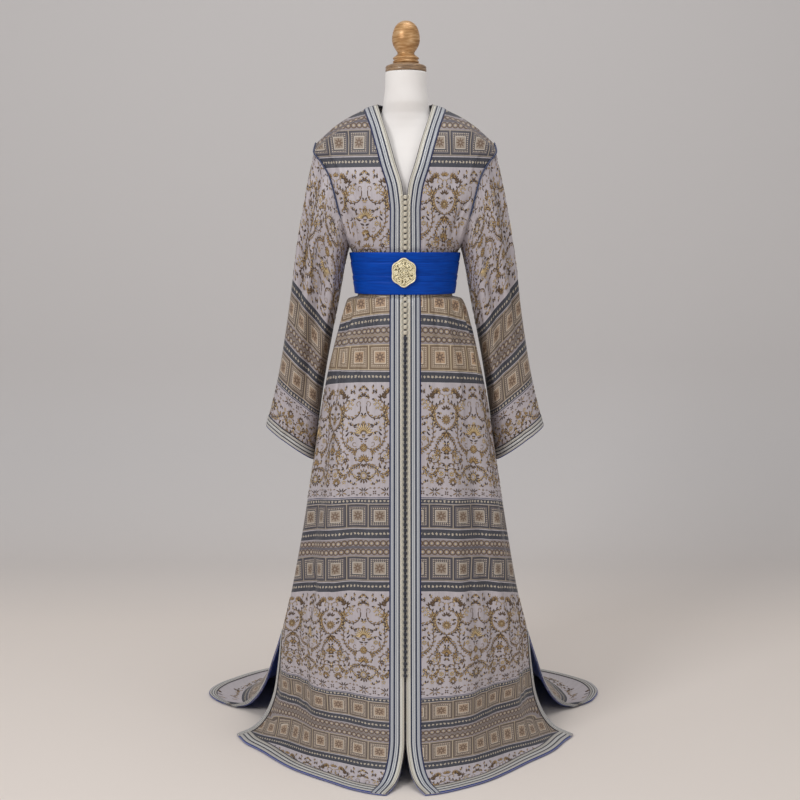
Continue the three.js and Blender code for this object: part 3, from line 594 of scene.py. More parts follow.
def back_surface(across, place):
    """The back at across -1 to 1 and a place along its rows: the half curve and its mirror. Above
    the first row it runs to the top edge, a quarter round of neckline and then the shoulder seam."""
    side = np.where(across < 0, -1.0, 1.0)
    t = np.abs(across)
    z, y, zo, xo, yo, kc, kox, koy, rise = rows_at(BACK_ROWS, np.maximum(place, 1) + 0 * t)

    def plan(share):
        return bezier(0 * xo, kc, xo + kox, xo, share), bezier(y, y, yo + koy, yo, share)

    px, py = plan(t)
    pz = z + (zo - z) * t + rise * 4 * t * (1 - t)
    point = np.stack([px, py, pz], -1)
    turn = np.minimum(t / NECK_SHARE, 1) * np.pi / 2
    neck = np.stack(
        [
            NECK_POINT[0] * np.sin(turn),
            NECK_POINT[1] + (BACK_ROWS[0][1] - NECK_POINT[1]) * np.cos(turn),
            BACK_ROWS[0][0] + (NECK_POINT[2] - BACK_ROWS[0][0]) * (1 - np.cos(turn)),
        ],
        -1,
    )
    seam = front_surface(1)(np.clip((t - NECK_SHARE) / (1 - NECK_SHARE), 0, 1), 0 * t)
    edge = np.where((t > NECK_SHARE)[..., None], seam, neck)
    up = np.clip(place + 0 * t, 0, 1)[..., None]
    swell = 4 * up * (1 - up)
    shoulder = (1 - soft(0.8, 1, t))[..., None]
    bulge = swell * shoulder * np.array([0, 5, 0])
    bulge = bulge + swell * shoulder * np.array([0, 0, 9]) * soft(0, 0.4, t)[..., None]
    point = np.where(up < 1, edge + (point - edge) * up + bulge, point)
    ax, ay = plan(t - 0.01)
    bx, by = plan(t + 0.01)
    run = np.hypot(bx - ax, by - ay) + 1e-9
    out = fold_height(BACK_FOLDS, across, point[..., 2]) * (1 - soft(0.9, 0.99, t))
    out = out + crease_height(BACK_CREASES, across, point[..., 2]) * (1 - soft(0.94, 1, t))
    shift = np.stack([-out * (by - ay) / run, out * (bx - ax) / run, 0 * out], -1)
    return (point + shift) * np.stack([side, 1 + 0 * side, 1 + 0 * side], -1)


BACK_SHARES = np.linspace(-1, 1, 121)
BACK_MIDDLE = 60  # the middle column of the back's grid
panel = body_panel(back_surface, BACK_SHARES, BODY_PLACES, 1, BACK_MIDDLE, 0)
panel["axis"] = 0
panels["back"] = panel
rows, columns = panel["across"].shape
faces = grid_faces(rows, columns, False, False).tolist()
kaftan_back = make_piece("kaftan_back", panel["points"], faces, brocade, ["back"])
lay_map(kaftan_back, "weave", panel["across"] / 1000, panel["down"] / 1000)
wall(kaftan_back, CLOTH_WALL)

# ---- Sleeves --------------------------------------------------------------------------------
# Wide straight sleeves of the brocade, set into the armholes and seamed under the arm. They hang
# empty and nearly flat, and their cloth is turned, so that its bands run up from the cuff.

# Rings below the armhole: the outer fold (zo, xo), the inner fold (zi, xi), the middle's y, and
# the depth from front to back.
SLEEVE_ROWS = [
    [1394, 204, 1156, 128, 0, 156],
    [1300, 224, 1118, 139, 1, 150],
    [1200, 243, 1052, 151, 6, 138],
    [1090, 261, 970, 167, 12, 126],
    [980, 277, 880, 184, 18, 116],
    [870, 296, 785, 199, 24, 107],
    [790, 314, 710, 209, 28, 101],
    [735, 329, 654, 217, 30, 98],
]
CUFF = len(SLEEVE_ROWS) - 1
CUFF_TO_BANDS = 107  # woven length from the sleeve's mouth up to its first navy band
# Folds that fall from the sleeve's head: place round it at the top and at the end, half width,
# height, and the places along the rings where the fold starts and ends.
SLEEVE_FOLDS = {
    -1: [
        [0.13, 0.17, 0.028, -18, 0.1, 4.4],
        [0.2, 0.235, 0.03, 11, 0.4, 5.4],
        [0.29, 0.3, 0.03, -12, 0.7, 6.4],
        [0.07, 0.09, 0.025, 8, 0.3, 3.6],
        [0.36, 0.37, 0.025, 8, 1.2, 5.2],
        [-0.14, -0.16, 0.03, -15, 0.2, 5.0],
        [-0.24, -0.25, 0.03, 12, 0.6, 6.2],
        [-0.34, -0.33, 0.028, -9, 1.0, 5.6],
        [0.225, 0.2, 0.02, 5, 4.2, 7.6],
    ],
    1: [
        [0.12, 0.15, 0.028, -15, 0.1, 5.0],
        [0.19, 0.22, 0.03, 12, 0.5, 4.6],
        [0.27, 0.29, 0.03, -14, 0.6, 6.0],
        [0.06, 0.08, 0.025, 7, 0.4, 4.2],
        [0.35, 0.36, 0.025, 8, 1.4, 6.0],
        [-0.12, -0.15, 0.03, -16, 0.2, 4.6],
        [-0.22, -0.24, 0.03, 12, 0.5, 5.8],
        [-0.33, -0.33, 0.028, -9, 1.2, 6.2],
        [0.24, 0.22, 0.02, -5, 4.4, 7.6],
    ],
}


def armhole(side, around):
    """The armhole's seam, from the shoulder (0) by the front to the underarm (0.5) and back up."""
    turn = np.mod(around, 1)
    front = front_surface(side)(1 + 0 * turn, turn * 2 * UNDERARM)
    back = back_surface(side + 0 * turn, (1 - turn) * 2 * UNDERARM)
    return np.where((turn <= 0.5)[..., None], front, back)


def sleeve_surface(side):
    """A sleeve round its ring and along its rows: a flattened ellipse that grows out of the armhole
    within the first rows, with its folds pushed along the ring's own normal."""

    def surface(around, place):
        zo, xo, zi, xi, y, depth = rows_at(SLEEVE_ROWS, place + 0 * around)
        c, s = np.cos(around * 2 * np.pi), np.sin(around * 2 * np.pi)
        bow = np.sign(c) * np.abs(c) ** 0.9
        swing = np.sign(s) * np.abs(s) ** 0.9
        out = 0
        turn = np.mod(around + 0.5, 1) - 0.5
        for top, low, spread, height, start, stop in SLEEVE_FOLDS[side]:
            t = (place - start) / (stop - start)
            middle = top + (low - top) * t
            along = soft(0, 0.3, t) * (1 - soft(0.6, 1, t))
            off = (turn - middle) / spread
            out = out + height * along * np.exp(-np.where(off > 0, 1.5 * off, 0.8 * off) ** 2)
        slant = np.hypot(xo - xi, zo - zi)
        ring = np.stack(
            [
                side * (xo + xi + (xo - xi) * bow) / 2 + side * out * bow * (xo - xi) / slant,
                y - depth / 2 * swing - out * swing,
                (zo + zi + (zo - zi) * bow) / 2 + out * bow * (zo - zi) / slant,
            ],
            -1,
        )
        seam = armhole(side, around + 0 * place)
        return seam + (ring - seam) * (soft(-0.25, 2, place + 0 * around) ** 0.8)[..., None]

    return surface


SLEEVE_TURNS = np.linspace(-0.5, 0.5, 89)
SLEEVE_PLACES = np.linspace(0.03, CUFF, 104)
SLEEVE_MIDDLE = 44  # the middle column of a sleeve's grid, on its outer fold
SLEEVE_AXIS = 20  # woven length from that column to the figures' axis
SLEEVE_REPEATS = 5  # whole repeats added, which give the sleeves their half golden threads
for side, hand in ((-1, "left"), (1, "right")):
    surface = sleeve_surface(side)
    v_grid, u_grid = np.meshgrid(SLEEVE_PLACES, SLEEVE_TURNS, indexing="ij")
    points = surface(u_grid, v_grid)
    across = steps_along(points, 1)
    across = across - across[:, [SLEEVE_MIDDLE]]
    fallen = steps_along(points, 0).mean(1)
    down = fallen[-1] - fallen - CUFF_TO_BANDS + SLEEVE_REPEATS * REPEAT
    down = np.repeat(down[:, None], len(SLEEVE_TURNS), 1)
    panels["sleeve_" + hand] = {
        "surface": surface,
        "sign": side,
        "u": SLEEVE_TURNS,
        "v": SLEEVE_PLACES,
        "points": points,
        "normals": normals_of(surface, u_grid, v_grid, side),
        "across": across,
        "down": down,
        "axis": SLEEVE_AXIS,
    }
    # The seam under the arm is closed: the last column of the mesh is the first one again, and
    # only the map keeps both, with the repeat cut there.
    rows, columns = across.shape
    faces = grid_faces(rows, columns - 1, True, side < 0)
    name = "sleeve_" + hand
    piece = make_piece("kaftan_" + name, points[:, :-1], faces.tolist(), brocade, [name])
    wide = columns - 1
    layer = piece.data.uv_layers.new(name="weave")
    cell_column = np.repeat(np.arange(rows - 1)[:, None] * 0 + np.arange(wide)[None], 1, 0).reshape(-1, 1)
    corner_column = faces % wide
    corner_column = np.where((cell_column == wide - 1) & (corner_column == 0), wide, corner_column)
    corner_row = faces // wide
    corner_across = across[corner_row, corner_column] - SLEEVE_AXIS
    layer.data.foreach_set(
        "uv",
        (np.stack([corner_across, down[corner_row, corner_column]], -1) / 1000).ravel(),
    )
    wall(piece, CLOTH_WALL)

# ---- Woven figures --------------------------------------------------------------------------
# The scrolls, palmettes and sprigs of the brocade are brocaded in brown and gold thread that
# stands on the satin. Each stroke is a low closed lozenge on the cloth. It is dark at its edges,
# partly its woven outline and partly painted shade, and lightened along its top as a painted highlight.

FIGURE_LIFT = 0.25
FIGURE_RISE = 0.55


def petal(x0, y0, x1, y1, x2, y2, width, shade):
    """Rows of strokes: start, bend and end of a quadratic curve, width, and shade from 0 to 1."""
    parts = np.broadcast_arrays(x0, y0, x1, y1, x2, y2, width, shade)
    return np.stack([np.ravel(part).astype(float) for part in parts], -1)


def fan(x, y, start, stop, count, near, far, width, shade, curl=0.1):
    """Petals spread round a point between two angles, 0 upwards, clockwise, in degrees."""
    angle = np.radians(np.linspace(start, stop, count))
    dx, dy = np.sin(angle), -np.cos(angle)
    middle = (near + far) / 2
    bend = curl * (far - near) * np.sign(angle + 1e-9)
    return petal(
        x + near * dx, y + near * dy,
        x + middle * dx - bend * dy, y + middle * dy + bend * dx,
        x + far * dx, y + far * dy, width, shade,
    )


def spiral(x, y, r0, r1, a0, a1):
    """A scroll: a point whose angle and distance from a centre both change evenly."""

    def line(t):
        angle = np.radians(a0 + (a1 - a0) * t)
        far = r0 + (r1 - r0) * t
        return np.stack([x + far * np.cos(angle), y + far * np.sin(angle)])

    return line


def swing(x0, y0, x1, y1, x2, y2, x3, y3):
    """A stem on a cubic curve through its two ends."""

    def line(t):
        return np.stack([bezier(x0, x1, x2, x3, t), bezier(y0, y1, y2, y3, t)])

    return line


def stem(line, count, width, shade):
    """A line as overlapping strokes, count of them."""
    t = np.linspace(0, 1, count + 1)
    a, b, c = line(t[:-1] - 0.2 / count), line((t[:-1] + t[1:]) / 2), line(t[1:] + 0.2 / count)
    bend = 2 * b - (a + c) / 2
    return petal(a[0], a[1], bend[0], bend[1], c[0], c[1], width, shade)


def leaves(line, start, stop, count, length, width, shade, angle=42, sides=(1, -1)):
    """Leaves along a line, leaning forwards by an angle, on one side or both, tips curled in."""
    rows = []
    for side in sides:
        t = np.linspace(start, stop, count) + (0.25 / count if side > 0 else 0)
        at = line(t)
        along = line(t + 0.01) - line(t - 0.01)
        along = along / (np.hypot(*along) + 1e-9)
        lean = np.radians(angle) * side
        dx = along[0] * np.cos(lean) - along[1] * np.sin(lean)
        dy = along[0] * np.sin(lean) + along[1] * np.cos(lean)
        size = length * (0.8 + 0.35 * np.sin(7 * t + side))
        rows.append(
            petal(
                at[0], at[1],
                at[0] + 0.55 * size * dx - 0.16 * size * dy * side,
                at[1] + 0.55 * size * dy + 0.16 * size * dx * side,
                at[0] + size * dx, at[1] + size * dy, width, shade,
            )
        )
    return np.concatenate(rows)


def both_sides(rows):
    """Strokes and their mirror across x = 0."""
    turned = rows.copy()
    turned[:, [0, 2, 4]] *= -1
    return np.concatenate([rows, turned])


# First axis: facing C scrolls, a fan palmette, a rosette on a garland, a crown and a lower
# palmette. y runs down from the lowest navy band.
GOLD, CREAM, BROWN, DARK = 0.62, 0.95, 0.3, 0.08
wreath = spiral(31, 52, 24, 20, 195, -75)
curl = spiral(11, 41, 7, 2.5, 60, -230)
garland = swing(9, 139, 30, 156, 58, 132, 50, 92)
garland_up = swing(50, 92, 47, 80, 58, 70, 52, 58)
branch = swing(5, 170, 14, 186, 30, 178, 38, 194)
foot = swing(7, 205, 16, 214, 28, 204, 30, 190)
link = swing(40, 196, 54, 206, 70, 190, 62, 166)
half = [
    stem(wreath, 8, 2.6, BROWN),
    leaves(wreath, 0.12, 0.98, 10, 9.0, 3.6, GOLD, sides=(-1,)),
    leaves(wreath, 0.3, 0.9, 7, 6.9, 3.3, DARK, sides=(1,)),
    stem(curl, 4, 1.8, GOLD),
    fan(33, 45, -70, 200, 7, 3, 10, 3.9, CREAM),
    fan(44, 30, -60, 70, 5, 2, 12, 3.9, BROWN),
    stem(garland, 7, 1.9, BROWN),
    leaves(garland, 0.1, 0.95, 9, 9.0, 3.8, GOLD),
    stem(garland_up, 3, 1.8, DARK),
    leaves(garland_up, 0.1, 1.0, 4, 8.5, 3.5, CREAM),
    stem(spiral(22, 130, 7, 2, 120, -160), 4, 1.6, GOLD),
    fan(51, 55, -90, 60, 5, 2, 13, 4.2, GOLD),
    stem(branch, 5, 1.9, DARK),
    leaves(branch, 0.15, 0.95, 6, 9.6, 3.8, GOLD),
    stem(foot, 4, 1.9, BROWN),
    leaves(foot, 0.2, 1.0, 4, 8.5, 3.8, CREAM),
    stem(link, 5, 1.9, BROWN),
    leaves(link, 0.08, 0.95, 7, 8.1, 3.3, GOLD),
    leaves(link, 0.15, 0.9, 3, 5.7, 3.0, CREAM, 62),
    fan(62, 150, 0, 315, 8, 1.5, 8.0, 3.8, GOLD),
    fan(62, 150, 22, 338, 6, 5.5, 10.0, 3.0, DARK),
    fan(66, 214, -90, 90, 7, 2, 11.0, 3.8, GOLD),
    fan(66, 216, 110, 250, 4, 1.5, 8.0, 3.4, BROWN),
    fan(60, 14, -110, 110, 7, 1.5, 9.5, 3.6, GOLD),
    fan(30, 118, 0, 300, 6, 1.2, 6.5, 3.4, CREAM),
    fan(44, 166, 0, 300, 6, 1.0, 6.5, 3.2, BROWN),
    fan(20, 150, 20, 160, 4, 1.5, 8.0, 3.4, GOLD),
    fan(48, 214, 0, 288, 5, 1.0, 5.5, 3.0, CREAM),
    petal(9, 112, 17, 114, 22, 106, 4.2, BROWN),
    petal(7, 108, 13, 108, 17, 101, 3.9, CREAM),
    petal(12, 118, 4, 121, 1, 121, 3.4, DARK),
    petal(3, 127, 5, 124, 8, 124, 3.1, GOLD),
]
middle = [
    fan(0, 108, -82, 82, 11, 4, 25, 4.2, CREAM, 0),
    fan(0, 139, 0, 324, 10, 2.5, 10.5, 5.0, GOLD),
    fan(0, 139, 0, 288, 5, 0.5, 4.2, 3.6, CREAM),
    fan(0, 170, -75, 75, 7, 2, 17, 5.3, GOLD, 0.05),
    fan(0, 174, 120, 240, 4, 2, 10, 4.2, BROWN),
    fan(0, 201, 0, 330, 12, 4, 9.5, 3.6, CREAM),
    fan(0, 201, 70, 290, 9, 9.5, 18.5, 4.8, BROWN),
    fan(0, 201, -60, 60, 5, 10, 16, 3.6, GOLD),
    stem(spiral(0, 201, 9.6, 9.6, -90, 270), 7, 1.6, DARK),
]
first = [both_sides(np.concatenate(half)), np.concatenate(middle)]
# Second axis: a tall garland ring round a star flower, and stems that end in small scrolls.
ring = spiral(0, 66, 33, 29, 98, -70)
top_curl = spiral(13, 26, 9, 3, 160, 420)
second_stem = swing(0, 100, 4, 118, 22, 122, 25, 142)
small_scroll = spiral(27, 160, 15, 11, -100, 200)
low_scroll = spiral(12, 196, 13, 9, -120, 190)
half = [
    stem(ring, 10, 2.0, BROWN),
    leaves(ring, 0.08, 0.97, 14, 10.1, 3.9, GOLD, sides=(-1,)),
    leaves(ring, 0.12, 0.9, 9, 7.4, 3.3, DARK, sides=(1,)),
    stem(top_curl, 5, 1.8, GOLD),
    leaves(top_curl, 0.1, 0.8, 3, 7.4, 3.3, CREAM, sides=(-1,)),
    fan(24, 22, -30, 100, 6, 2, 14, 4.2, BROWN),
    stem(second_stem, 5, 2.1, DARK),
    leaves(second_stem, 0.05, 0.95, 7, 9.6, 3.9, GOLD),
    stem(small_scroll, 7, 1.9, BROWN),
    leaves(small_scroll, 0.1, 0.95, 8, 7.4, 3.5, GOLD, sides=(-1,)),
    fan(27, 160, -120, 160, 6, 2, 8.5, 3.9, CREAM),
    stem(low_scroll, 6, 1.8, GOLD),
    leaves(low_scroll, 0.2, 0.9, 7, 6.9, 3.3, DARK, sides=(-1,)),
    fan(12, 196, 0, 300, 6, 1, 6.5, 3.9, CREAM),
    petal(40, 128, 44, 122, 42, 114, 4.5, GOLD),
    petal(36, 112, 42, 110, 45, 102, 3.9, DARK),
    petal(38, 186, 44, 180, 43, 172, 4.2, BROWN),
    petal(30, 208, 38, 206, 41, 198, 4.2, GOLD),
]
middle = [
    fan(0, 76, 0, 330, 12, 2.5, 12, 3.6, GOLD, 0.02),
    fan(0, 76, 0, 288, 5, 0.5, 3.6, 3.6, CREAM),
    fan(0, 56, -60, 60, 5, 3, 13, 3.9, BROWN),
    fan(0, 16, -50, 50, 5, 2, 13, 4.2, GOLD),
    fan(0, 104, 110, 250, 5, 2, 12, 4.2, BROWN),
    fan(0, 146, -70, 70, 7, 2, 14, 4.8, GOLD),
]
second = [both_sides(np.concatenate(half)), np.concatenate(middle)]
figures = np.concatenate(first + [np.concatenate(second) + [81, 0, 81, 0, 81, 0, 0, 0]])
# Small sprigs fill what is left: each takes the place, of those tried, that keeps 9.6 mm from all
# that is there, leans at random, and is mirrored across both axes as the rest is.
seeds = np.random.default_rng(5)
taken = figures[:, [2, 3]]
taken = np.concatenate([taken, (taken - [162, 0]) * [1, 1], taken * [-1, 1]])
fill = []
for x, y in seeds.uniform([0, 4], [81, 222], (5000, 2)):
    if np.hypot(taken[:, 0] - x, taken[:, 1] - y).min() < 9.6:
        continue
    turn = seeds.uniform(-180, 180)
    size = seeds.uniform(0.85, 1.15)
    shades = seeds.permutation([GOLD, BROWN, CREAM, DARK])
    for k, spread in enumerate((-52, 0, 52)):
        fill.append(fan(x, y, turn + spread, turn + spread, 1, 1.0, 7.4 * size, 3.6, shades[k], 0.2))
    taken = np.concatenate([taken, [[x, y], [-x, y], [162 - x, y]]])
fill = np.concatenate(fill)
turned = fill * [-1, 1, -1, 1, -1, 1, 1, 1]
figures = np.concatenate([figures, fill, turned])
figures[:, [1, 3, 5]] += 234
# Sprigs below the figures: a six-leaved cluster every 54 mm and a dot of four leaves between.
sprig = np.concatenate(
    [
        both_sides(
            np.concatenate(
                [
                    petal(2, 471, 7, 466, 13, 464, 3.0, BROWN),
                    petal(2, 472, 8, 473, 13, 477, 3.0, GOLD),
                    petal(1, 470, 2, 465, 5, 461, 2.8, DARK),
                    petal(1, 473, 3, 478, 5, 481, 2.8, BROWN),
                    petal(14, 463, 18, 461, 20, 464, 2.6, GOLD),
                    petal(14, 478, 18, 480, 20, 477, 2.6, DARK),
                ]
            )
        ),
        fan(27, 473, 45, 315, 4, 1, 5.5, 3.0, BROWN),
        fan(27, 463, 0, 270, 4, 0.5, 3, 2.2, GOLD),
    ]
)
figures = np.concatenate([figures] + [sprig + [k * 54, 0, k * 54, 0, k * 54, 0, 0, 0] for k in (0, 1, 2)])

# Brocading thread: a brown silk core wrapped with dull gilt strip. It is glossier than the
# ground. Its colour runs from near black at the edges, partly the woven outline and partly painted
# shade, to cream gold on the raised top, which is a painted highlight.
gilt_thread, t = start_material("gilt_brocading_thread")
shade = put(t, "Attribute", attribute_name="thread").node.outputs["Fac"]
thread_tone = put(
    t,
    "ValToRGB",
    [shade],
    stops=[(0.0, "#3a2e29"), (0.2, "#5a442f"), (0.4, "#8a6d4a"), (0.62, "#bd9f6c"), (1.0, "#e6d5b0")],
)
place = put(t, "TexCoord").node.outputs["Object"]
wear = put(t, "TexNoise", {"Vector": place, "Scale": 90.0, "Detail": 3.0})
wear = put(t, "MapRange", [wear, 0.3, 0.7, 0.82, 1.12])
wear = put(t, "CombineColor", [wear, wear, wear])
thread_tone = put(t, "Mix", [1.0, thread_tone, wear], data_type="RGBA", blend_type="MULTIPLY")
twist = put(t, "TexNoise", {"Vector": place, "Scale": 900.0, "Detail": 1.0})
bump = put(t, "Bump", {"Strength": 0.4, "Distance": 0.0004, "Height": twist})
shader = put(
    t,
    "BsdfPrincipled",
    {"Base Color": thread_tone, "Roughness": 0.42, "Metallic": 0.25, "Normal": bump, "Sheen Weight": 0.1},
)
put(t, "OutputMaterial", {"Surface": shader})


def sample(table, row, column):
    """A grid's value between its points, bilinear."""
    r = np.clip(np.floor(row).astype(int), 0, table.shape[0] - 2)
    c = np.clip(np.floor(column).astype(int), 0, table.shape[1] - 2)
    fr, fc = row - r, column - c
    if table.ndim == 3:
        fr, fc = fr[..., None], fc[..., None]
    upper = table[r, c] * (1 - fc) + table[r, c + 1] * fc
    lower = table[r + 1, c] * (1 - fc) + table[r + 1, c + 1] * fc
    return upper * (1 - fr) + lower * fr


def locate(panel, across, down):
    """The place on a panel's grid where its woven lengths have the given values. Newton's steps
    with the tables' slopes, and whether each point was reached inside the grid."""
    u, v = panel["across"], panel["down"]
    u_r, u_c = np.gradient(u)
    v_r, v_c = np.gradient(v)
    line = v[:, v.shape[1] // 2]
    order = np.argsort(line)
    row = np.interp(down, line[order], order.astype(float))
    left = sample(u, row, 0 * row)
    right = sample(u, row, 0 * row + u.shape[1] - 1)
    column = (across - left) / (right - left + 1e-9) * (u.shape[1] - 1)
    for _ in range(16):
        row = np.clip(row, 0, u.shape[0] - 1)
        column = np.clip(column, 0, u.shape[1] - 1)
        du = across - sample(u, row, column)
        dv = down - sample(v, row, column)
        a, b = sample(u_r, row, column), sample(u_c, row, column)
        c, d = sample(v_r, row, column), sample(v_c, row, column)
        area = a * d - b * c
        area = np.where(np.abs(area) < 1e-6, 1e-6, area)
        row = row + np.clip((du * d - b * dv) / area, -9, 9)
        column = column + np.clip((a * dv - du * c) / area, -9, 9)
    row = np.clip(row, 0, u.shape[0] - 1)
    column = np.clip(column, 0, u.shape[1] - 1)
    missed = np.hypot(across - sample(u, row, column), down - sample(v, row, column))
    return row, column, missed < 0.6


# Stations along a stroke, and the share of its width at each: a point, two sections, a point.
STATIONS = np.array([0.0, 0.3, 0.72, 1.0])
WIDTHS = np.array([0.0, 1.0, 0.86, 0.0])


def weave_figures(name, panel, keep):
    """All the strokes of a panel: the repeat's strokes copied over its woven lengths, those that
    lie wholly inside kept, each laid on the cloth's points along its normals."""
    low, high = panel["across"].min() - panel["axis"], panel["across"].max() - panel["axis"]
    columns = np.arange(np.floor(low / FIGURE_WIDTH) - 1, np.ceil(high / FIGURE_WIDTH) + 1) * FIGURE_WIDTH
    top, foot = panel["down"].min() / REPEAT, panel["down"].max() / REPEAT
    repeats = np.arange(np.floor(top), np.ceil(foot)) * REPEAT
    du, dv = np.meshgrid(columns, repeats)
    shift = np.stack([du.ravel(), dv.ravel()] * 3 + [0 * du.ravel()] * 2, -1)
    rows = (figures[None] + shift[:, None]).reshape(-1, 8)
    x0, y0, x1, y1, x2, y2, width, shade = rows.T[..., None]
    s = STATIONS
    x = x0 * (1 - s) ** 2 + 2 * x1 * s * (1 - s) + x2 * s * s
    y = y0 * (1 - s) ** 2 + 2 * y1 * s * (1 - s) + y2 * s * s
    tx = (x1 - x0) * (1 - s) + (x2 - x1) * s
    ty = (y1 - y0) * (1 - s) + (y2 - y1) * s
    run = np.hypot(tx, ty) + 1e-9
    half = width / 2 * WIDTHS
    left = np.stack([x - half * ty / run, y + half * tx / run], -1)
    right = np.stack([x + half * ty / run, y - half * tx / run], -1)
    top = np.stack([x, y], -1)
    # Points of one stroke: the first tip, left, top and right at two sections, the last tip.
    flat = np.concatenate(
        [top[:, :1], np.stack([left, top, right], 2)[:, 1:3].reshape(len(rows), 6, 2), top[:, 3:]], 1
    )
    lift = np.array([0] + [0, 1, 0] * 2 + [0]) * FIGURE_RISE + FIGURE_LIFT
    # Painted shade and highlight: the tips and edges of a stroke take 0.4 and 0.3 of its tone, and its raised
    # top takes all of it.
    tint = np.array([0.4] + [0.3, 1, 0.3] * 2 + [0.4])
    across = flat[..., 0] + panel["axis"]
    row, column, reached = locate(panel, across.ravel(), flat[..., 1].ravel())
    inside = (reached & keep(across.ravel(), row, column)).reshape(across.shape).all(1)
    points = sample(panel["points"], row, column) + sample(panel["normals"], row, column) * np.tile(
        lift, len(rows)
    )[:, None]
    points = points.reshape(len(rows), 8, 3)
    # Strokes that the train's flare would draw out to more than 1.4 times their length are left out.
    laid = np.linalg.norm(points[:, 7] - points[:, 0], axis=-1)
    inside = inside & (laid < 1.4 * np.linalg.norm(flat[:, 7] - flat[:, 0], axis=-1) + 0.5)
    points = points[inside]
    tint = np.broadcast_to(tint * 1.0, across.shape)[inside] * np.broadcast_to(shade, across.shape)[inside]
    cell = [
        [0, 2, 1], [0, 3, 2], [0, 1, 3],
        [1, 2, 5], [1, 5, 4], [2, 3, 6], [2, 6, 5], [3, 1, 4], [3, 4, 6],
        [4, 5, 7], [5, 6, 7], [6, 4, 7],
    ]
    faces = (np.array(cell)[None] + 8 * np.arange(len(points))[:, None, None]).reshape(-1, 3)
    # A stroke's top faces the way the cloth does.
    first_cell = points[0][np.array(cell[0])]
    first_row = row.reshape(across.shape)[inside][:1, 0]
    first_column = column.reshape(across.shape)[inside][:1, 0]
    facing = np.dot(
        np.cross(first_cell[1] - first_cell[0], first_cell[2] - first_cell[0]),
        sample(panel["normals"], first_row, first_column)[0],
    )
    if facing < 0:
        faces = faces[:, ::-1]
    piece = make_piece(name, points, faces.tolist(), gilt_thread)
    attribute = piece.data.attributes.new("thread", "FLOAT", "POINT")
    attribute.data.foreach_set("value", tint.astype(np.float32).ravel())
    return piece


for name, panel in panels.items():
    last_row, last_column = panel["across"].shape[0] - 1, panel["across"].shape[1] - 1

    def keep(across, row, column, name=name, last_row=last_row, last_column=last_column):
        """Inside the panel by a little, and not under the braid beside the opening."""
        inside = (row > 0.5) & (row < last_row - 0.5) & (column > 0.3) & (column < last_column - 0.3)
        return inside & ((across > 33) | (not name.startswith("front")))

    weave_figures("woven_figures_" + name, panel, keep)

# ---- Lining ---------------------------------------------------------------------------------
# A light satin lining, one piece inside each front and the back. It is sewn along the same seams
# and shows at the slits and at the foot of the opening.

LINING_START = 17
LINING_WALL = 0.8
LINING_GAP = 2.1
lining_satin, t = start_material("lining_satin")
place = put(t, "TexCoord").node.outputs["Object"]
drawn = put(t, "VectorMath", [place, (220.0, 220.0, 14.0)], operation="MULTIPLY")
satin = put(t, "TexNoise", {"Vector": drawn, "Scale": 1.0, "Detail": 3.0})
shade = put(t, "ValToRGB", [satin], stops=[(0.3, "#0f2f86"), (0.7, "#2257c4")])
bump = put(t, "Bump", {"Strength": 0.2, "Distance": 0.0004, "Height": satin})
shader = put(
    t,
    "BsdfPrincipled",
    {"Base Color": shade, "Roughness": 0.36, "Normal": bump, "Sheen Weight": 0.2, "Anisotropic": 0.4},
)
put(t, "OutputMaterial", {"Surface": shader})

for name in ("front_left", "front_right", "back"):
    panel = panels[name]
    lower = panel["v"] >= LINING_START
    inner = panel["points"][lower] - panel["normals"][lower] * LINING_GAP
    rows, columns = inner.shape[:2]
    flip = name == "front_right"
    new_name = "lining_" + name.replace("front_", "")
    faces = grid_faces(rows, columns, False, flip).tolist()
    piece = make_piece("satin_" + new_name, inner, faces, lining_satin, [new_name])
    wall(piece, LINING_WALL)

# ---- Sfifa, hem, slit and cuff braids -------------------------------------------------------
# Hand-woven flat braids of silver, cream and navy, sewn on the face of the cloth: a broad one down
# each side of the opening and round the neck, and narrower ones at the hem, the slits and the cuffs.


def braid_faces(stations, corners, closed):
    """Quads round a bar of sections; open bars also get a face at each end."""
    quads = grid_faces(stations, corners, True, False).tolist()
    if closed:
        last = (stations - 1) * corners
        k = np.arange(corners)
        quads += np.stack([last + k, last + (k + 1) % corners, (k + 1) % corners, k], -1).tolist()
        return quads
    return quads + [list(range(corners))[::-1], list(range((stations - 1) * corners, stations * corners))]


def turned_out(points, faces):
    """The faces turned so that the body they close has a positive volume."""
    flat = np.asarray(points).reshape(-1, 3)
    quads = np.array([face[:3] for face in faces] + [[f[0], f[2], f[3]] for f in faces if len(f) == 4])
    volume = np.einsum("ij,ij->i", flat[quads[:, 0]], np.cross(flat[quads[:, 1]], flat[quads[:, 2]])).sum()
    return [face[::-1] for face in faces] if volume < 0 else faces


# Braid sections: place across in mm, height over the cloth in mm. The colours are bands of the
# same place across.
SFIFA = np.array(
    [[0.4, 0.3], [0.6, 1.7], [1.6, 2.1], [3.5, 2.35],
     [6.5, 2.4], [9.5, 2.3], [11, 1.9], [11.4, 1.3], [13.2, 1.3],
     [13.6, 1.9], [15.4, 2.6], [17.2, 2.1], [17.5, 1.9], [17.8, 2.1], [19.6, 2.6], [21.3, 1.9], [21.7, 1.3],
     [23.9, 1.3], [24.4, 1.9], [26, 2.3], [28, 2.35],
     [30, 2.3], [31.5, 1.9], [32, 1.3], [33.6, 1.3], [34.2, 0.9],
     [34.4, 0.3]]
)
NARROW = np.array(
    [[0, 0.3], [0.2, 1.3], [2.2, 1.5], [2.6, 2.0], [5, 2.3], [7.4, 2.0], [7.8, 1.4], [9.8, 1.4], [10.2, 2.0],
     [12.6, 2.4], [15, 2.0], [15.4, 1.4], [17.2, 1.4], [17.6, 2.0], [20, 2.3], [22.4, 2.0], [22.8, 1.4],
     [24.8, 1.4], [25, 0.3]]
)


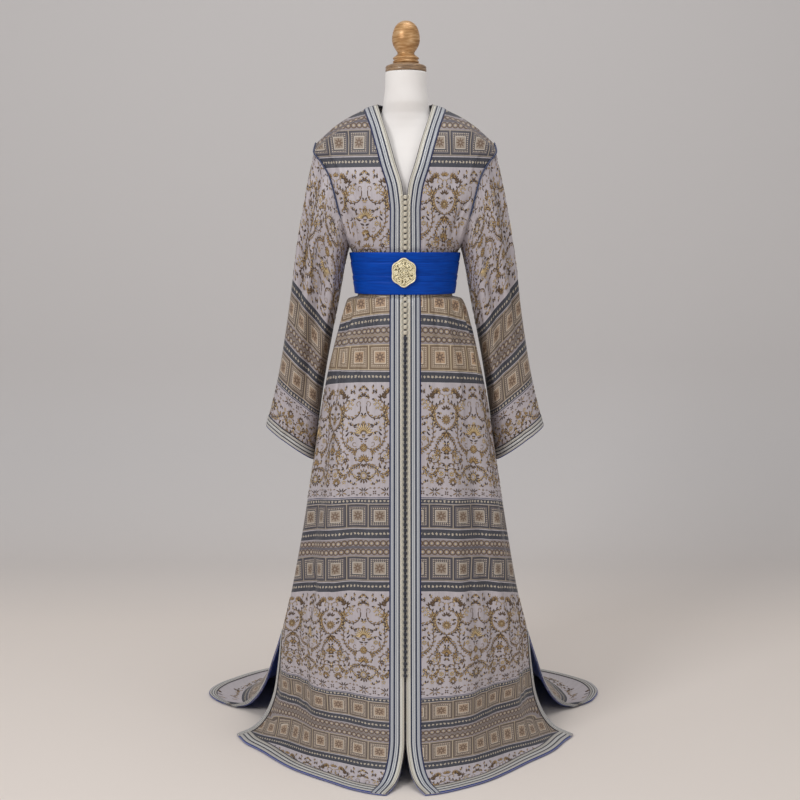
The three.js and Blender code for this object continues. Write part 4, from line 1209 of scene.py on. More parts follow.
def braid_material(name, stops, across_mm, tooth):
    """A woven braid: bands of colour across its map, a herringbone of two slanted ribs along it."""
    material, t = start_material(name)
    lengths = put(t, "SeparateXYZ", [put(t, "UVMap", uv_map="braid")]).node
    x = put(t, "Math", [lengths.outputs[0], 1000.0], operation="MULTIPLY")
    y = put(t, "Math", [lengths.outputs[1], 1000.0], operation="MULTIPLY")
    share = put(t, "Math", [x, across_mm], operation="DIVIDE")
    colour = put(t, "ValToRGB", [share], stops=[(place / across_mm, hue) for place, hue in stops])
    colour.node.color_ramp.interpolation = "CONSTANT"
    # Herringbone: the rib leans one way and then the other every 3.9 mm across.
    lean = put(t, "Math", [x, 3.9], operation="PINGPONG")
    slope = put(t, "Math", [lean, 0.8, y], operation="MULTIPLY_ADD")
    rib = put(t, "Math", [slope, 2 * np.pi / tooth], operation="MULTIPLY")
    rib = put(t, "Math", [rib], operation="SINE")
    # Painted shade: the colour is darkened in the valleys between the ribs, on the same sine as the bump.
    shade = put(t, "MapRange", [rib, -1.0, 1.0, 0.8, 1.06])
    fine = put(t, "TexNoise", {"Vector": put(t, "CombineXYZ", [x, y, 0.0]), "Scale": 0.9, "Detail": 3.0})
    fine = put(t, "MapRange", [fine, 0.3, 0.7, 0.9, 1.08])
    shade = put(t, "Math", [shade, fine], operation="MULTIPLY")
    shade = put(t, "CombineColor", [shade, shade, shade])
    colour = put(t, "Mix", [1.0, colour, shade], data_type="RGBA", blend_type="MULTIPLY")
    bump = put(t, "Bump", {"Strength": 0.5, "Distance": 0.0006, "Height": rib})
    shader = put(
        t,
        "BsdfPrincipled",
        {"Base Color": colour, "Roughness": 0.38, "Metallic": 0.2, "Normal": bump, "Sheen Weight": 0.15},
    )
    put(t, "OutputMaterial", {"Surface": shader})
    return material


# Silver lurex on navy silk: the light bands glint softly, the navy ones are matt. The ribs are
# 1.2 mm in the real braid and are drawn at 3.2 mm.
sfifa_braid = braid_material(
    "sfifa_silver_braid",
    [(0.0, "#161a2e"), (1.6, "#cbc6ba"), (3.4, "#aca596"),
     (5.2, "#d2cfc6"), (10.6, "#131f42"), (13.8, "#c8cacc"),
     (17.0, "#7e8492"), (18.2, "#c8cacc"), (20.9, "#131f42"), (24.4, "#b0b3b9"), (30.8, "#122052")],
    34.5, 3.2,
)
narrow_braid = braid_material(
    "edge_silver_braid",
    [(0.0, "#1f47a8"), (1.2, "#232636"), (2.4, "#c4c1bd"),
     (7.6, "#232636"), (10.0, "#cbcac8"), (15.2, "#232636"), (17.4, "#bdb8b1"),
     (22.6, "#26293a")],
    25.0, 3.0,
)


def lay_braid(name, points, normals, profile, across, along, material, replaces, closed=False):
    """A braid from its face on the cloth (stations x profile) with its profile raised along the
    normals, closed below by a flat back at 0.22 mm."""
    top = points + normals * profile[:, 1][None, :, None]
    back = (points + normals * 0.22)[:, ::-1][:, 1:-1:4]
    section = np.concatenate([top, back], 1)
    stations, corners = section.shape[:2]
    faces = turned_out(section, braid_faces(stations, corners, closed))
    piece = make_piece(name, section, faces, material, replaces)
    across_back = across[:, ::-1][:, 1:-1:4]
    u = np.concatenate([across, across_back], 1) / 1000
    v = np.broadcast_to(along[:, None], u.shape) / 1000
    lay_map(piece, "braid", u, v)


NEWTON_STEPS = 20


def column_at(panel, distance):
    """The column of each row where the running length across has a value, by Newton's steps."""
    u = panel["across"]
    slope = np.gradient(u, axis=1)
    row = np.broadcast_to(np.arange(u.shape[0])[:, None].astype(float), distance.shape)
    first, last = u[:, :1], u[:, -1:]
    column = (distance - first) / (last - first + 1e-9) * (u.shape[1] - 1)
    for _ in range(NEWTON_STEPS):
        column = np.clip(column, 0, u.shape[1] - 1)
        step = (distance - sample(u, row, column)) / (sample(slope, row, column) + 1e-9)
        column = column + np.clip(step, -5, 5)
    return row, np.clip(column, 0, u.shape[1] - 1)


for side, hand in ((-1, "left"), (1, "right")):
    panel = panels["front_" + hand]
    start = panel["across"][:, :1]
    distance = start + SFIFA[:, 0][None]
    row, column = column_at(panel, distance)
    points = sample(panel["points"], row, column)
    normals = sample(panel["normals"], row, column)
    along = steps_along(points[:, 12], 0)
    across = np.broadcast_to(SFIFA[:, 0][None], row.shape)
    lay_braid(
        "braid_sfifa_" + hand, points, normals, SFIFA, across, along, sfifa_braid, ["sfifa_" + hand]
    )

# Round the neck the braid goes straight down the back, and swings round to the shoulder seam at
# each end, where it meets the braid of the front.
turns = np.linspace(-NECK_SHARE, NECK_SHARE, 61)
down_places = np.linspace(0.012, 2.6, 160)
u_grid, v_grid = np.meshgrid(turns, down_places, indexing="ij")
fall = steps_along(back_surface(u_grid, v_grid), 1)
down_at = np.stack([np.interp(SFIFA[:, 0], run, down_places) for run in fall])
seam_shares = np.linspace(NECK_SHARE, 0.7, 80)
seam_run = steps_along(back_surface(seam_shares, 0.012 + 0 * seam_shares), 0)
share_at = np.interp(SFIFA[:, 0], seam_run, seam_shares) - NECK_SHARE
swung = soft(0.45, 1, np.abs(turns) / NECK_SHARE)[:, None] * np.pi / 2
u_grid = turns[:, None] + np.sign(turns)[:, None] * np.sin(swung) * share_at
v_grid = np.maximum(down_at * np.cos(swung), 0.012)
points = back_surface(u_grid, v_grid)
normals = normals_of(back_surface, u_grid, np.maximum(v_grid, 0.05), 1)
across = np.broadcast_to(SFIFA[:, 0][None], u_grid.shape)
along = steps_along(points[:, 10], 0)
lay_braid("braid_sfifa_neck", points, normals, SFIFA, across, along, sfifa_braid, ["sfifa_neck"])

HEM_BRAID = 26
SLIT_BRAID = 20
for name in ("front_left", "front_right", "back"):
    # The hem's braid runs from slit to slit: its profile goes up from the hem along the grid.
    new_name = "hem_braid_" + name.replace("front_", "")
    panel = panels[name]
    surface = panel["surface"]
    near = 0.5 if name != "back" else 0.0
    places = np.linspace(HEM, SLIT, 200)
    rise = steps_along(surface(near + 0 * places, places), 0)
    profile = NARROW * [HEM_BRAID / 25, 1]
    row_places = np.interp(profile[:, 0], rise, places)
    if name == "back":
        turns = np.linspace(-0.955, 0.955, 150)
    else:
        turns = np.linspace(0.085, 0.95, 90)
    u_grid, v_grid = np.meshgrid(turns, row_places, indexing="ij")
    points = surface(u_grid, v_grid)
    normals = normals_of(surface, u_grid, np.minimum(v_grid, HEM - 0.03), panel["sign"])
    across = np.broadcast_to(NARROW[:, 0][None], u_grid.shape)
    along = steps_along(points[:, 8], 0)
    lay_braid(
        "edge_" + new_name, points, normals, profile, across, along, narrow_braid, [new_name]
    )

for name, edge in (("front_left", 1), ("front_right", 1), ("back", -1), ("back", 1)):
    panel = panels[name]
    low = np.flatnonzero(panel["v"] > SLIT)
    part = {key: panel[key][low] for key in ("across", "points", "normals")}
    profile = NARROW * [SLIT_BRAID / 25, 1]
    end = part["across"][:, -1:] if edge > 0 else part["across"][:, :1]
    row, column = column_at(part, end - edge * (0.3 + profile[:, 0][None]))
    points = sample(part["points"], row, column)
    normals = sample(part["normals"], row, column)
    hand = name.replace("front_", "") if name != "back" else ("right" if edge > 0 else "left")
    new_name = "slit_braid_" + ("back_" if name == "back" else "front_") + hand
    across = np.broadcast_to(NARROW[:, 0][None], row.shape)
    along = steps_along(points[:, 8], 0)
    lay_braid(
        "edge_" + new_name, points, normals, profile, across, along, narrow_braid, [new_name]
    )

CUFF_BRAID = 27
for side, hand in ((-1, "left"), (1, "right")):
    surface = panels["sleeve_" + hand]["surface"]
    places = np.linspace(CUFF, 4, 120)
    rise = steps_along(surface(0.25 + 0 * places, places), 0)
    profile = NARROW * [CUFF_BRAID / 25, 1]
    row_places = np.interp(profile[:, 0], rise, places)
    u_grid, v_grid = np.meshgrid(np.linspace(-0.5, 0.5, 97)[:-1], row_places, indexing="ij")
    points = surface(u_grid, v_grid)
    normals = normals_of(surface, u_grid, v_grid, side)
    across = np.broadcast_to(NARROW[:, 0][None], u_grid.shape)
    along = steps_along(points[:, 8], 0)
    new_name = "cuff_braid_" + hand
    lay_braid(
        "edge_" + new_name, points, normals, profile, across, along, narrow_braid, [new_name], True
    )

# ---- Piping ---------------------------------------------------------------------------------
# A navy cord in the armhole seam, from the fold at the front over the shoulder to the back.

PIPING_RADIUS = 1.8
PIPING_REACH = 0.34


def tube(path, radius, corners, out):
    """A round bar along a path: rings of corners about each point, turned from a given outward
    direction, with a closed end at each side."""
    along = np.gradient(path, axis=0)
    along = along / (np.linalg.norm(along, axis=1, keepdims=True) + 1e-9)
    side = np.cross(along, out)
    side = side / (np.linalg.norm(side, axis=1, keepdims=True) + 1e-9)
    up = np.cross(side, along)
    angle = np.arange(corners) / corners * 2 * np.pi
    radius = np.broadcast_to(radius, len(path))[:, None, None]
    return path[:, None] + radius * (
        up[:, None] * np.cos(angle)[None, :, None] + side[:, None] * np.sin(angle)[None, :, None]
    )


# Covered cord: a navy silk thread wound round a core, with slanted turns drawn at 3 mm.
navy_cord, t = start_material("navy_silk_cord")
lengths = put(t, "SeparateXYZ", [put(t, "UVMap", uv_map="braid")]).node
wound = put(t, "Math", [lengths.outputs[0], 0.35, lengths.outputs[1]], operation="MULTIPLY_ADD")
wound = put(t, "Math", [wound, 2100.0], operation="MULTIPLY")
wound = put(t, "Math", [wound], operation="SINE")
# Painted shade and highlight: the hue is darker between the turns and lighter on their crests, on the same
# sine as the bump.
shade = put(t, "MapRange", [wound, -1.0, 1.0, 0.2, 0.8])
hue = put(t, "ValToRGB", [shade], stops=[(0.2, "#141b33"), (0.8, "#2b3d6c")])
bump = put(t, "Bump", {"Strength": 0.5, "Distance": 0.0005, "Height": wound})
shader = put(t, "BsdfPrincipled", {"Base Color": hue, "Roughness": 0.5, "Normal": bump, "Sheen Weight": 0.2})
put(t, "OutputMaterial", {"Surface": shader})

for side, hand in ((-1, "left"), (1, "right")):
    around = np.linspace(-PIPING_REACH, PIPING_REACH, 90)
    path = armhole(side, around)
    place = np.abs(around) * 2 * UNDERARM
    on_front = normals_of(front_surface(side), 0.97 + 0 * around, np.maximum(place, 0.1), -side)
    on_back = normals_of(back_surface, side * (0.97 + 0 * around), np.maximum(place, 0.1), 1)
    on_sleeve = normals_of(sleeve_surface(side), around, 0.4 + 0 * around, side)
    out = np.where((around >= 0)[:, None], on_front, on_back) + on_sleeve
    out = out / (np.linalg.norm(out, axis=1, keepdims=True) + 1e-9)
    path = path + out * (PIPING_RADIUS + 0.5)
    end = np.clip((PIPING_REACH - np.abs(around)) / 0.02, 0.3, 1)
    section = tube(path, PIPING_RADIUS * end, 10, out)
    faces = turned_out(section, braid_faces(90, 10, False))
    piece = make_piece("piping_cord_" + hand, section, faces, navy_cord, ["piping_" + hand])
    along = steps_along(section[:, 0], 0)[:, None] / 1000
    lay_map(piece, "braid", np.broadcast_to(np.arange(10) / 1000, (90, 10)), np.broadcast_to(along, (90, 10)))

# ---- Aakad, the knotted buttons -------------------------------------------------------------
# Silk cord tied in small round knots that close through loops of cream cord, from the foot of the
# neckline to the top of the leg. A thin cord runs behind them where the braids meet.

BUTTON_PITCH = 12.4
BUTTONS_TOP = 1272
BELT_TOP, BELT_LOW = 1144, 1049
BUTTONS_END = 208
EDGE_PLACES = np.linspace(0, HEM, 1400)
edge_rows = rows_at(FRONT_ROWS, EDGE_PLACES)
BRAID_FACE = 2.3


def opening_y(z):
    """How far forward the opening's edge stands at a height."""
    return np.interp(-np.asarray(z, float), -edge_rows[0], edge_rows[2])


# Silk cord knots: most are navy, and those nearest the neck are worked in cream silk.
knot_silk, t = start_material("knotted_silk_cord")
shade = put(t, "Attribute", attribute_name="thread").node.outputs["Fac"]
silks = [(0.0, "#11141f"), (0.5, "#3a3f55"), (0.55, "#8f8676"), (1.0, "#ded6c4")]
hue = put(t, "ValToRGB", [shade], stops=silks)
place = put(t, "TexCoord").node.outputs["Object"]
twist = put(t, "TexWave", {"Vector": place, "Scale": 160.0, "Distortion": 2.0}, bands_direction="DIAGONAL")
bump = put(t, "Bump", {"Strength": 0.6, "Distance": 0.0005, "Height": twist})
# Painted shade: the colour is darkened in the grooves of the twist, on the same waves as the bump.
twist_groove_shade = put(t, "MapRange", [twist, 0.0, 1.0, 0.86, 1.05])
twist_groove_shade = put(t, "CombineColor", [twist_groove_shade, twist_groove_shade, twist_groove_shade])
hue = put(t, "Mix", [1.0, hue, twist_groove_shade], data_type="RGBA", blend_type="MULTIPLY")
shader = put(t, "BsdfPrincipled", {"Base Color": hue, "Roughness": 0.45, "Normal": bump, "Sheen Weight": 0.2})
put(t, "OutputMaterial", {"Surface": shader})

# One knot: rings of six corners, waisted where the cord crosses it. Radius and height in mm.
KNOT = np.array(
    [[0.5, 4.9], [2.4, 4.3], [4.0, 2.5], [4.3, 0.7],
     [3.8, 0.0], [4.3, -0.7], [4.0, -2.5], [2.4, -4.3], [0.5, -4.9]]
)
# One loop: a flat arch of cream cord beside the knot, its corners every 22 degrees.
ARCH = np.radians(np.linspace(-84, 84, 8))


def button_row(name, top, low, cream_above, replaced):
    """Knots down a row, two arches of cord beside each, and one thin cord behind them all, as
    copies of a few small bars moved to each place."""
    z = top - BUTTON_PITCH * (np.arange(int((top - low) // BUTTON_PITCH)) + 0.5)
    y = opening_y(z) - BRAID_FACE
    turn = np.arange(8) / 8 * 2 * np.pi
    jitter = np.random.default_rng(7).uniform(-0.35, 0.35, len(z))
    radius, height = KNOT[:, 0], KNOT[:, 1]
    knot = np.stack(
        [radius[:, None] * np.sin(turn), -radius[:, None] * np.cos(turn), height[:, None] + 0 * turn], -1
    )
    knot = knot[None] + np.stack([jitter, y - 1.9, z], -1)[:, None, None]
    line = np.stack([5.2 + 4.6 * np.cos(ARCH), 0.4 * np.sin(2 * ARCH), 5.6 * np.sin(ARCH)], -1)
    arch = tube(line, 1.15 + 0 * ARCH, 6, np.tile([0.0, -1.0, 0.0], (len(ARCH), 1)))
    right = arch[None] + np.stack([jitter * 0.5, y - 0.6, z], -1)[:, None, None]
    left = (arch * [-1, 1, 1])[None] + np.stack([jitter * 0.5, y - 0.6, z], -1)[:, None, None]
    cord_z = np.linspace(top, low, 60)
    cord = np.stack([0 * cord_z, opening_y(cord_z) - BRAID_FACE + 0.2, cord_z], -1)
    cord = tube(cord, 2.2, 6, np.tile([0.0, -1.0, 0.0], (60, 1)))
    points, faces, tints, start = [], [], [], 0
    for bars, tint in ((knot, None), (left, 1.0), (right, 1.0), (cord[None], 0.0)):
        count, stations, corners = bars.shape[:3]
        faces_one = turned_out(bars[0], braid_faces(stations, corners, False))
        offsets = start + stations * corners * np.arange(count)
        quads = np.array([face for face in faces_one if len(face) == 4])
        ends = [face for face in faces_one if len(face) != 4]
        faces += (quads[None] + offsets[:, None, None]).reshape(-1, 4).tolist()
        for end in ends:
            faces += (np.array(end)[None] + offsets[:, None]).tolist()
        points.append(bars.reshape(-1, 3))
        dark = np.where(z > cream_above, 0.9, 0.12) if tint is None else np.full(count, tint)
        tints.append(np.repeat(dark, stations * corners))
        start += bars.size // 3
    piece = make_piece(name, np.concatenate(points), faces, knot_silk, [replaced])
    attribute = piece.data.attributes.new("thread", "FLOAT", "POINT")
    attribute.data.foreach_set("value", np.concatenate(tints).astype(np.float32))
    return piece


button_row("buttons_upper", BUTTONS_TOP, BELT_TOP + 3, BELT_TOP, "aakad_upper")
button_row("buttons_lower", BELT_LOW - 3, BUTTONS_END, 960, "aakad_lower")

# ---- Belt -----------------------------------------------------------------------------------
# A cobalt satin sash, laid in flat pleats round the waist over the braid and hooked at the front
# behind the buckle. Each pleat's upper edge lies on the one below it.

BELT_CLEAR = 4.2
# Height above the belt's foot and how far the satin stands off the cloth, pleat by pleat.
PLEATS = np.array(
    [[95, 0.2], [94.8, 1.8], [94, 2.9], [91, 3.3],
     [86, 3.1], [79, 2.7], [73.6, 2.3], [72.6, 1.7], [72.2, 1.9],
     [71.2, 3.1], [68, 3.3], [62, 3.0], [54, 2.6],
     [43.4, 2.1], [42.6, 1.5], [42.2, 1.9], [41.2, 3.0], [38, 3.2],
     [33, 2.8], [29.6, 2.2], [29, 1.6], [28.6, 1.9], [27.6, 2.8], [24, 3.0], [16, 2.8], [8, 2.7], [3, 2.8],
     [1, 2.5], [0.2, 1.5], [0, 0.2]]
)

# Duchesse satin, cobalt: smooth warp floats give a broad soft highlight along the pleats.
belt_satin, t = start_material("cobalt_satin")
place = put(t, "TexCoord").node.outputs["Object"]
drawn = put(t, "VectorMath", [place, (24.0, 24.0, 520.0)], operation="MULTIPLY")
floats = put(t, "TexNoise", {"Vector": drawn, "Scale": 1.0, "Detail": 4.0, "Roughness": 0.55})
hue = put(t, "ValToRGB", [floats], stops=[(0.3, "#00358f"), (0.5, "#0040a4"), (0.7, "#0048b2")])
slack = put(t, "TexNoise", {"Vector": place, "Scale": 16.0, "Detail": 1.0})
bump = put(t, "Bump", {"Strength": 0.1, "Distance": 0.0005, "Height": floats})
bump = put(t, "Bump", {"Strength": 0.2, "Distance": 0.003, "Height": slack, "Normal": bump})
shader = put(
    t,
    "BsdfPrincipled",
    {"Base Color": hue, "Roughness": 0.5, "Normal": bump, "Specular IOR Level": 0.12, "Anisotropic": 0.35},
)
put(t, "OutputMaterial", {"Surface": shader})


def waist(around, z):
    """The cloth's face round the waist: the right front, the back from right to left, the left
    front, a quarter, a half and a quarter of the turn, at a height."""
    place = np.interp(-z, -edge_rows[0], EDGE_PLACES)
    turn = np.mod(around, 1)
    right = front_surface(1)(np.clip(turn * 4, 0, 1), place)
    back = back_surface(np.clip((0.5 - turn) * 4, -1, 1), place)
    left = front_surface(-1)(np.clip((1 - turn) * 4, 0, 1), place)
    first = np.where((turn < 0.25)[..., None], right, back)
    return np.where((turn > 0.75)[..., None], left, first)


around = np.linspace(0, 1, 241)[:-1]
u_grid, v_grid = np.meshgrid(around, PLEATS[:, 0], indexing="ij")
# The pleats aren't quite level: each edge wanders by a millimetre or so round the waist.
wander = 0.9 * np.sin(2 * np.pi * u_grid * 2 + v_grid / 14)
wander = wander + 0.5 * np.sin(2 * np.pi * u_grid * 5 + v_grid / 9 + 1)
wander = wander * np.sin(np.pi * v_grid / 95)
height = BELT_LOW + v_grid + wander
# The sash is drawn in smooth, so it follows the waist's section at two heights and not its folds.
low_line = waist(u_grid, np.full_like(u_grid, BELT_LOW))
high_line = waist(u_grid, np.full_like(u_grid, BELT_TOP))
middle_line = waist(u_grid, np.full_like(u_grid, 1100))
t_up = ((height - BELT_LOW) / (BELT_TOP - BELT_LOW))[..., None]
ground = low_line * (1 - t_up) * (1 - 2 * t_up) + middle_line * 4 * t_up * (1 - t_up)
ground = ground + high_line * t_up * (2 * t_up - 1)
step_round = np.roll(ground, -1, 0) - np.roll(ground, 1, 0)
out = np.stack([step_round[..., 1], -step_round[..., 0], 0 * height], -1)
out = out / (np.linalg.norm(out, axis=-1, keepdims=True) + 1e-9)
lift = BELT_CLEAR + PLEATS[:, 1][None] + 0.25 * np.sin(2 * np.pi * u_grid * 7 + v_grid / 5)
face = ground + out * lift[..., None]
face[..., 2] = np.clip(height, BELT_LOW, BELT_TOP)
inner = ground + out * BELT_CLEAR
inner[..., 2] = np.clip(height, BELT_LOW, BELT_TOP)
section = np.concatenate([face, inner[:, ::-1][:, ::4]], 1)
faces = turned_out(section, braid_faces(240, section.shape[1], True))
folds = ["belt_upper", "belt_middle", "belt_lower"]
belt = make_piece("belt_sash", section, faces, belt_satin, folds)

# ---- Buckle ---------------------------------------------------------------------------------
# A cast and pierced plate of gilt metal, six lobes round a dome, with a beaded rim, scrolls and a
# rosette soldered on. Dark enamel shows through the piercings.

BUCKLE_X, BUCKLE_Z = -3.0, 1098.5
BUCKLE_BACK = -115 - BELT_CLEAR - 3 - 2.2
BUCKLE_HALF = np.array([29.0, 33.0])


def lobed(angle, size):
    """The plate's outline: an oval whose radius swells at six lobes."""
    edge = size * (0.95 + 0.05 * np.cos(6 * angle))
    return BUCKLE_HALF[0] * edge * np.sin(angle), BUCKLE_HALF[1] * edge * np.cos(angle)


def plate_point(angle, size, lift):
    """A point of the plate at an angle and a share of its outline, lifted forwards in mm."""
    x, z = lobed(angle, size)
    return np.stack([BUCKLE_X + x, BUCKLE_BACK - lift + 0 * x, BUCKLE_Z + z], -1)


# Gilt metal: polished on the high edges, darker and rougher in the hollows.
gilt, t = start_material("cast_gilt_metal")
place = put(t, "TexCoord").node.outputs["Object"]
pits = put(t, "TexNoise", {"Vector": place, "Scale": 420.0, "Detail": 3.0})
hue = put(t, "ValToRGB", [pits], stops=[(0.3, "#e2d2a4"), (0.55, "#f6ecca"), (0.75, "#fff8e2")])
rough = put(t, "MapRange", [pits, 0.3, 0.7, 0.42, 0.24])
bump = put(t, "Bump", {"Strength": 0.3, "Distance": 0.0003, "Height": pits})
shader = put(t, "BsdfPrincipled", {"Base Color": hue, "Metallic": 0.45, "Roughness": rough, "Normal": bump})
put(t, "OutputMaterial", {"Surface": shader})
# Dark green enamel behind the piercings, glossy and slightly uneven.
enamel, t = start_material("dark_green_enamel")
place = put(t, "TexCoord").node.outputs["Object"]
cloud = put(t, "TexNoise", {"Vector": place, "Scale": 300.0, "Detail": 2.0})
hue = put(t, "ValToRGB", [cloud], stops=[(0.3, "#4a472c"), (0.7, "#8a7d52")])
bump = put(t, "Bump", {"Strength": 0.2, "Distance": 0.0003, "Height": cloud})
shader = put(t, "BsdfPrincipled", {"Base Color": hue, "Roughness": 0.25, "Normal": bump, "Coat Weight": 0.4})
put(t, "OutputMaterial", {"Surface": shader})

# The plate: size as a share of the outline and lift in mm, from the back round to the middle.
PLATE = np.array(
    [[0.0, 0.0], [0.5, 0.0], [0.96, 0.0], [1.0, 0.6],
     [1.0, 2.2], [0.975, 2.8], [0.93, 2.9], [0.9, 2.2], [0.88, 1.9],
     [0.8, 2.3], [0.66, 3.2], [0.5, 3.9], [0.3, 4.4], [0.12, 4.6], [0.0, 4.6]]
)
angle = np.arange(144) / 144 * 2 * np.pi
a_grid, s_grid = np.meshgrid(angle, np.maximum(PLATE[:, 0], 0.004), indexing="ij")
plate = plate_point(a_grid, s_grid, np.broadcast_to(PLATE[:, 1], s_grid.shape))
plate = np.swapaxes(plate, 0, 1)
faces = turned_out(plate, braid_faces(len(PLATE), 144, False))
buckle = make_piece("buckle_plate", plate, faces, enamel, ["buckle"])


def dome_lift(size):
    """The plate's own lift at a share of its outline."""
    return np.interp(size, PLATE[:, 0][::-1][:12], PLATE[:, 1][::-1][:12])


def on_plate(x, z, lift):
    """Points over the dome from places in its own plane, in mm from its middle."""
    size = np.hypot(x / BUCKLE_HALF[0], z / BUCKLE_HALF[1])
    return np.stack([BUCKLE_X + x, BUCKLE_BACK - dome_lift(size) - lift + 0 * x, BUCKLE_Z + z], -1)


bars = []
loop = np.linspace(0, 2 * np.pi, 145)
forward = np.array([0.0, -1.0, 0.0])
for size, thick in ((0.955, 1.7), (0.83, 1.0), (0.36, 1.0)):
    # Three round wires: the rim, the inner border and the ring round the rosette.
    x, z = lobed(loop, size)
    bars.append((on_plate(x, z, 0.5), thick))
for k in range(12):
    # Facing scrolls between the border and the rosette's ring: spirals of one and a quarter turns.
    hand = 1 if k % 2 else -1
    base = (k // 2) * np.pi / 3 + hand * 0.27
    turn = np.linspace(0, 2.5 * np.pi, 26)
    far = 0.21 * (1 - 0.62 * turn / turn[-1])
    x = np.sin(base) * 0.6 + far * np.cos(hand * turn + base)
    z = np.cos(base) * 0.6 + far * np.sin(hand * turn + base)
    bars.append((on_plate(x * BUCKLE_HALF[0], z * BUCKLE_HALF[1], 0.6), 1.15))
for k in range(6):
    # A pointed leaf on each lobe's line, and a short bar between lobes.
    base = k * np.pi / 3 + np.pi / 6
    run = np.linspace(0, 1, 14)
    bend = 0.13 * np.sin(np.pi * run)
    for hand in (-1, 1):
        size = 0.42 + 0.38 * run
        x = size * np.sin(base) + hand * bend * np.cos(base)
        z = size * np.cos(base) - hand * bend * np.sin(base)
        bars.append((on_plate(x * BUCKLE_HALF[0], z * BUCKLE_HALF[1], 0.7), 1.0))
for k in range(8):
    # The rosette's petals, each a small closed hoop.
    base = k * np.pi / 4
    turn = np.linspace(0, 2 * np.pi, 15)
    size = 0.17 + 0.11 * np.cos(turn)
    x = size * np.sin(base) + 0.055 * np.sin(turn) * np.cos(base)
    z = size * np.cos(base) - 0.055 * np.sin(turn) * np.sin(base)
    bars.append((on_plate(x * BUCKLE_HALF[0], z * BUCKLE_HALF[1], 0.8), 0.9))

points, faces, start = [], [], 0
for path, thick in bars:
    section = tube(path, thick, 8, np.tile(forward, (len(path), 1)))
    own = turned_out(section, braid_faces(len(path), 8, False))
    faces += [[start + corner for corner in face] for face in own]
    points.append(section.reshape(-1, 3))
    start += section.shape[0] * 8
# Beads: forty-eight on the rim, six on the lobes and one in the middle, as small domed rings.
bead_angle = np.arange(48) / 48 * 2 * np.pi
bead_at = np.concatenate([
    plate_point(bead_angle, 0.905, 2.6),
    on_plate(*[axis * 0.72 for axis in lobed(np.arange(6) * np.pi / 3, 1.0)], 1.2),
    on_plate(np.array([0.0]), np.array([0.0]), 1.0),
])
bead_size = np.concatenate([np.full(48, 1.15), np.full(6, 2.1), np.full(1, 2.9)])
belt_rings = np.radians(np.linspace(-88, 88, 7))
spin = np.arange(10) / 10 * 2 * np.pi
ball = np.stack(
    [
        np.cos(belt_rings)[:, None] * np.cos(spin),
        -np.sin(belt_rings)[:, None] + 0 * spin,
        np.cos(belt_rings)[:, None] * np.sin(spin),
    ],
    -1,
)
balls = bead_at[:, None, None] + ball[None] * bead_size[:, None, None, None]
own = turned_out(ball, braid_faces(7, 10, False))
for k in range(len(balls)):
    faces += [[start + 70 * k + corner for corner in face] for face in own]
points.append(balls.reshape(-1, 3))
filigree = make_piece("buckle_filigree", np.concatenate(points), faces, gilt)

# ---- Dress form -----------------------------------------------------------------------------
# A limbless bust of moulded foam under a stretched cream jersey, with a turned and stained cap and
# a turned finial in worn gold. It stands on a steel pole and a round steel foot under the gown.

FORM_X = 2
# Level sections of the bust: height, half width, depth in front and depth behind.
FORM_ROWS = [
    [1553, 47, 46, 46],
    [1520, 48, 46, 47],
    [1487, 52, 47, 51],
    [1470, 54, 43, 52],
    [1458, 58, 40, 54],
    [1446, 70, 40, 57],
    [1430, 108, 43, 62],
    [1414, 146, 50, 68],
    [1395, 171, 62, 74],
    [1376, 181, 76, 80],
    [1352, 180, 90, 86],
    [1328, 163, 99, 89],
    [1290, 142, 108, 91],
    [1240, 134, 112, 89],
    [1190, 124, 112, 85],
    [1145, 111, 108, 80],
    [1095, 103, 103, 77],
    [1045, 99, 103, 78],
    [990, 116, 112, 94],
    [925, 132, 120, 112],
    [872, 140, 124, 122],
    [860, 130, 114, 112],
]
# Cotton jersey, 0.9 mm loops: matt, slightly fuzzy, drawn at 1.8 mm so that the knit shows.
jersey, t = start_material("cotton_jersey")
place = put(t, "TexCoord").node.outputs["Object"]
ribs = put(t, "TexWave", {"Vector": place, "Scale": 170.0, "Distortion": 0.6}, bands_direction="Z")
fuzz = put(t, "TexNoise", {"Vector": place, "Scale": 260.0, "Detail": 3.0})
cloud = put(t, "TexNoise", {"Vector": place, "Scale": 7.0, "Detail": 2.0})
hue = put(t, "ValToRGB", [cloud], stops=[(0.3, "#e3dedb"), (0.7, "#efecea")])
loops = put(t, "Math", [ribs, fuzz], operation="ADD")
bump = put(t, "Bump", {"Strength": 0.12, "Distance": 0.0005, "Height": loops})
shader = put(t, "BsdfPrincipled", {"Base Color": hue, "Roughness": 0.85, "Normal": bump, "Sheen Weight": 0.3})
put(t, "OutputMaterial", {"Surface": shader})

form_places = np.concatenate([np.linspace(0, 13, 92), np.linspace(13.2, len(FORM_ROWS) - 1, 24)])
z, half, front, behind = rows_at(FORM_ROWS, form_places)
around = np.arange(96) / 96 * 2 * np.pi
cosine = np.cos(around)[None]
depth = np.where(cosine > 0, front[:, None], behind[:, None])
bust = np.stack(
    [FORM_X + half[:, None] * np.sin(around), -depth * cosine, z[:, None] + 0 * cosine], -1
)
faces = turned_out(bust, braid_faces(len(form_places), 96, False))
bust = make_piece("form_jersey_bust", bust, faces, jersey, ["form_bust"])


def turned_piece(name, profile, base, material, replaced, segments=64):
    """A turned piece: a profile of radius and height carried round the form's axis."""
    profile = np.asarray(profile, float)
    spin = np.arange(segments) / segments * 2 * np.pi
    points = np.stack(
        [
            FORM_X + profile[:, :1] * np.cos(spin),
            profile[:, :1] * np.sin(spin),
            base + profile[:, 1:] + 0 * spin,
        ],
        -1,
    )
    faces = turned_out(points, braid_faces(len(profile), segments, False))
    return make_piece(name, points, faces, material, [replaced])


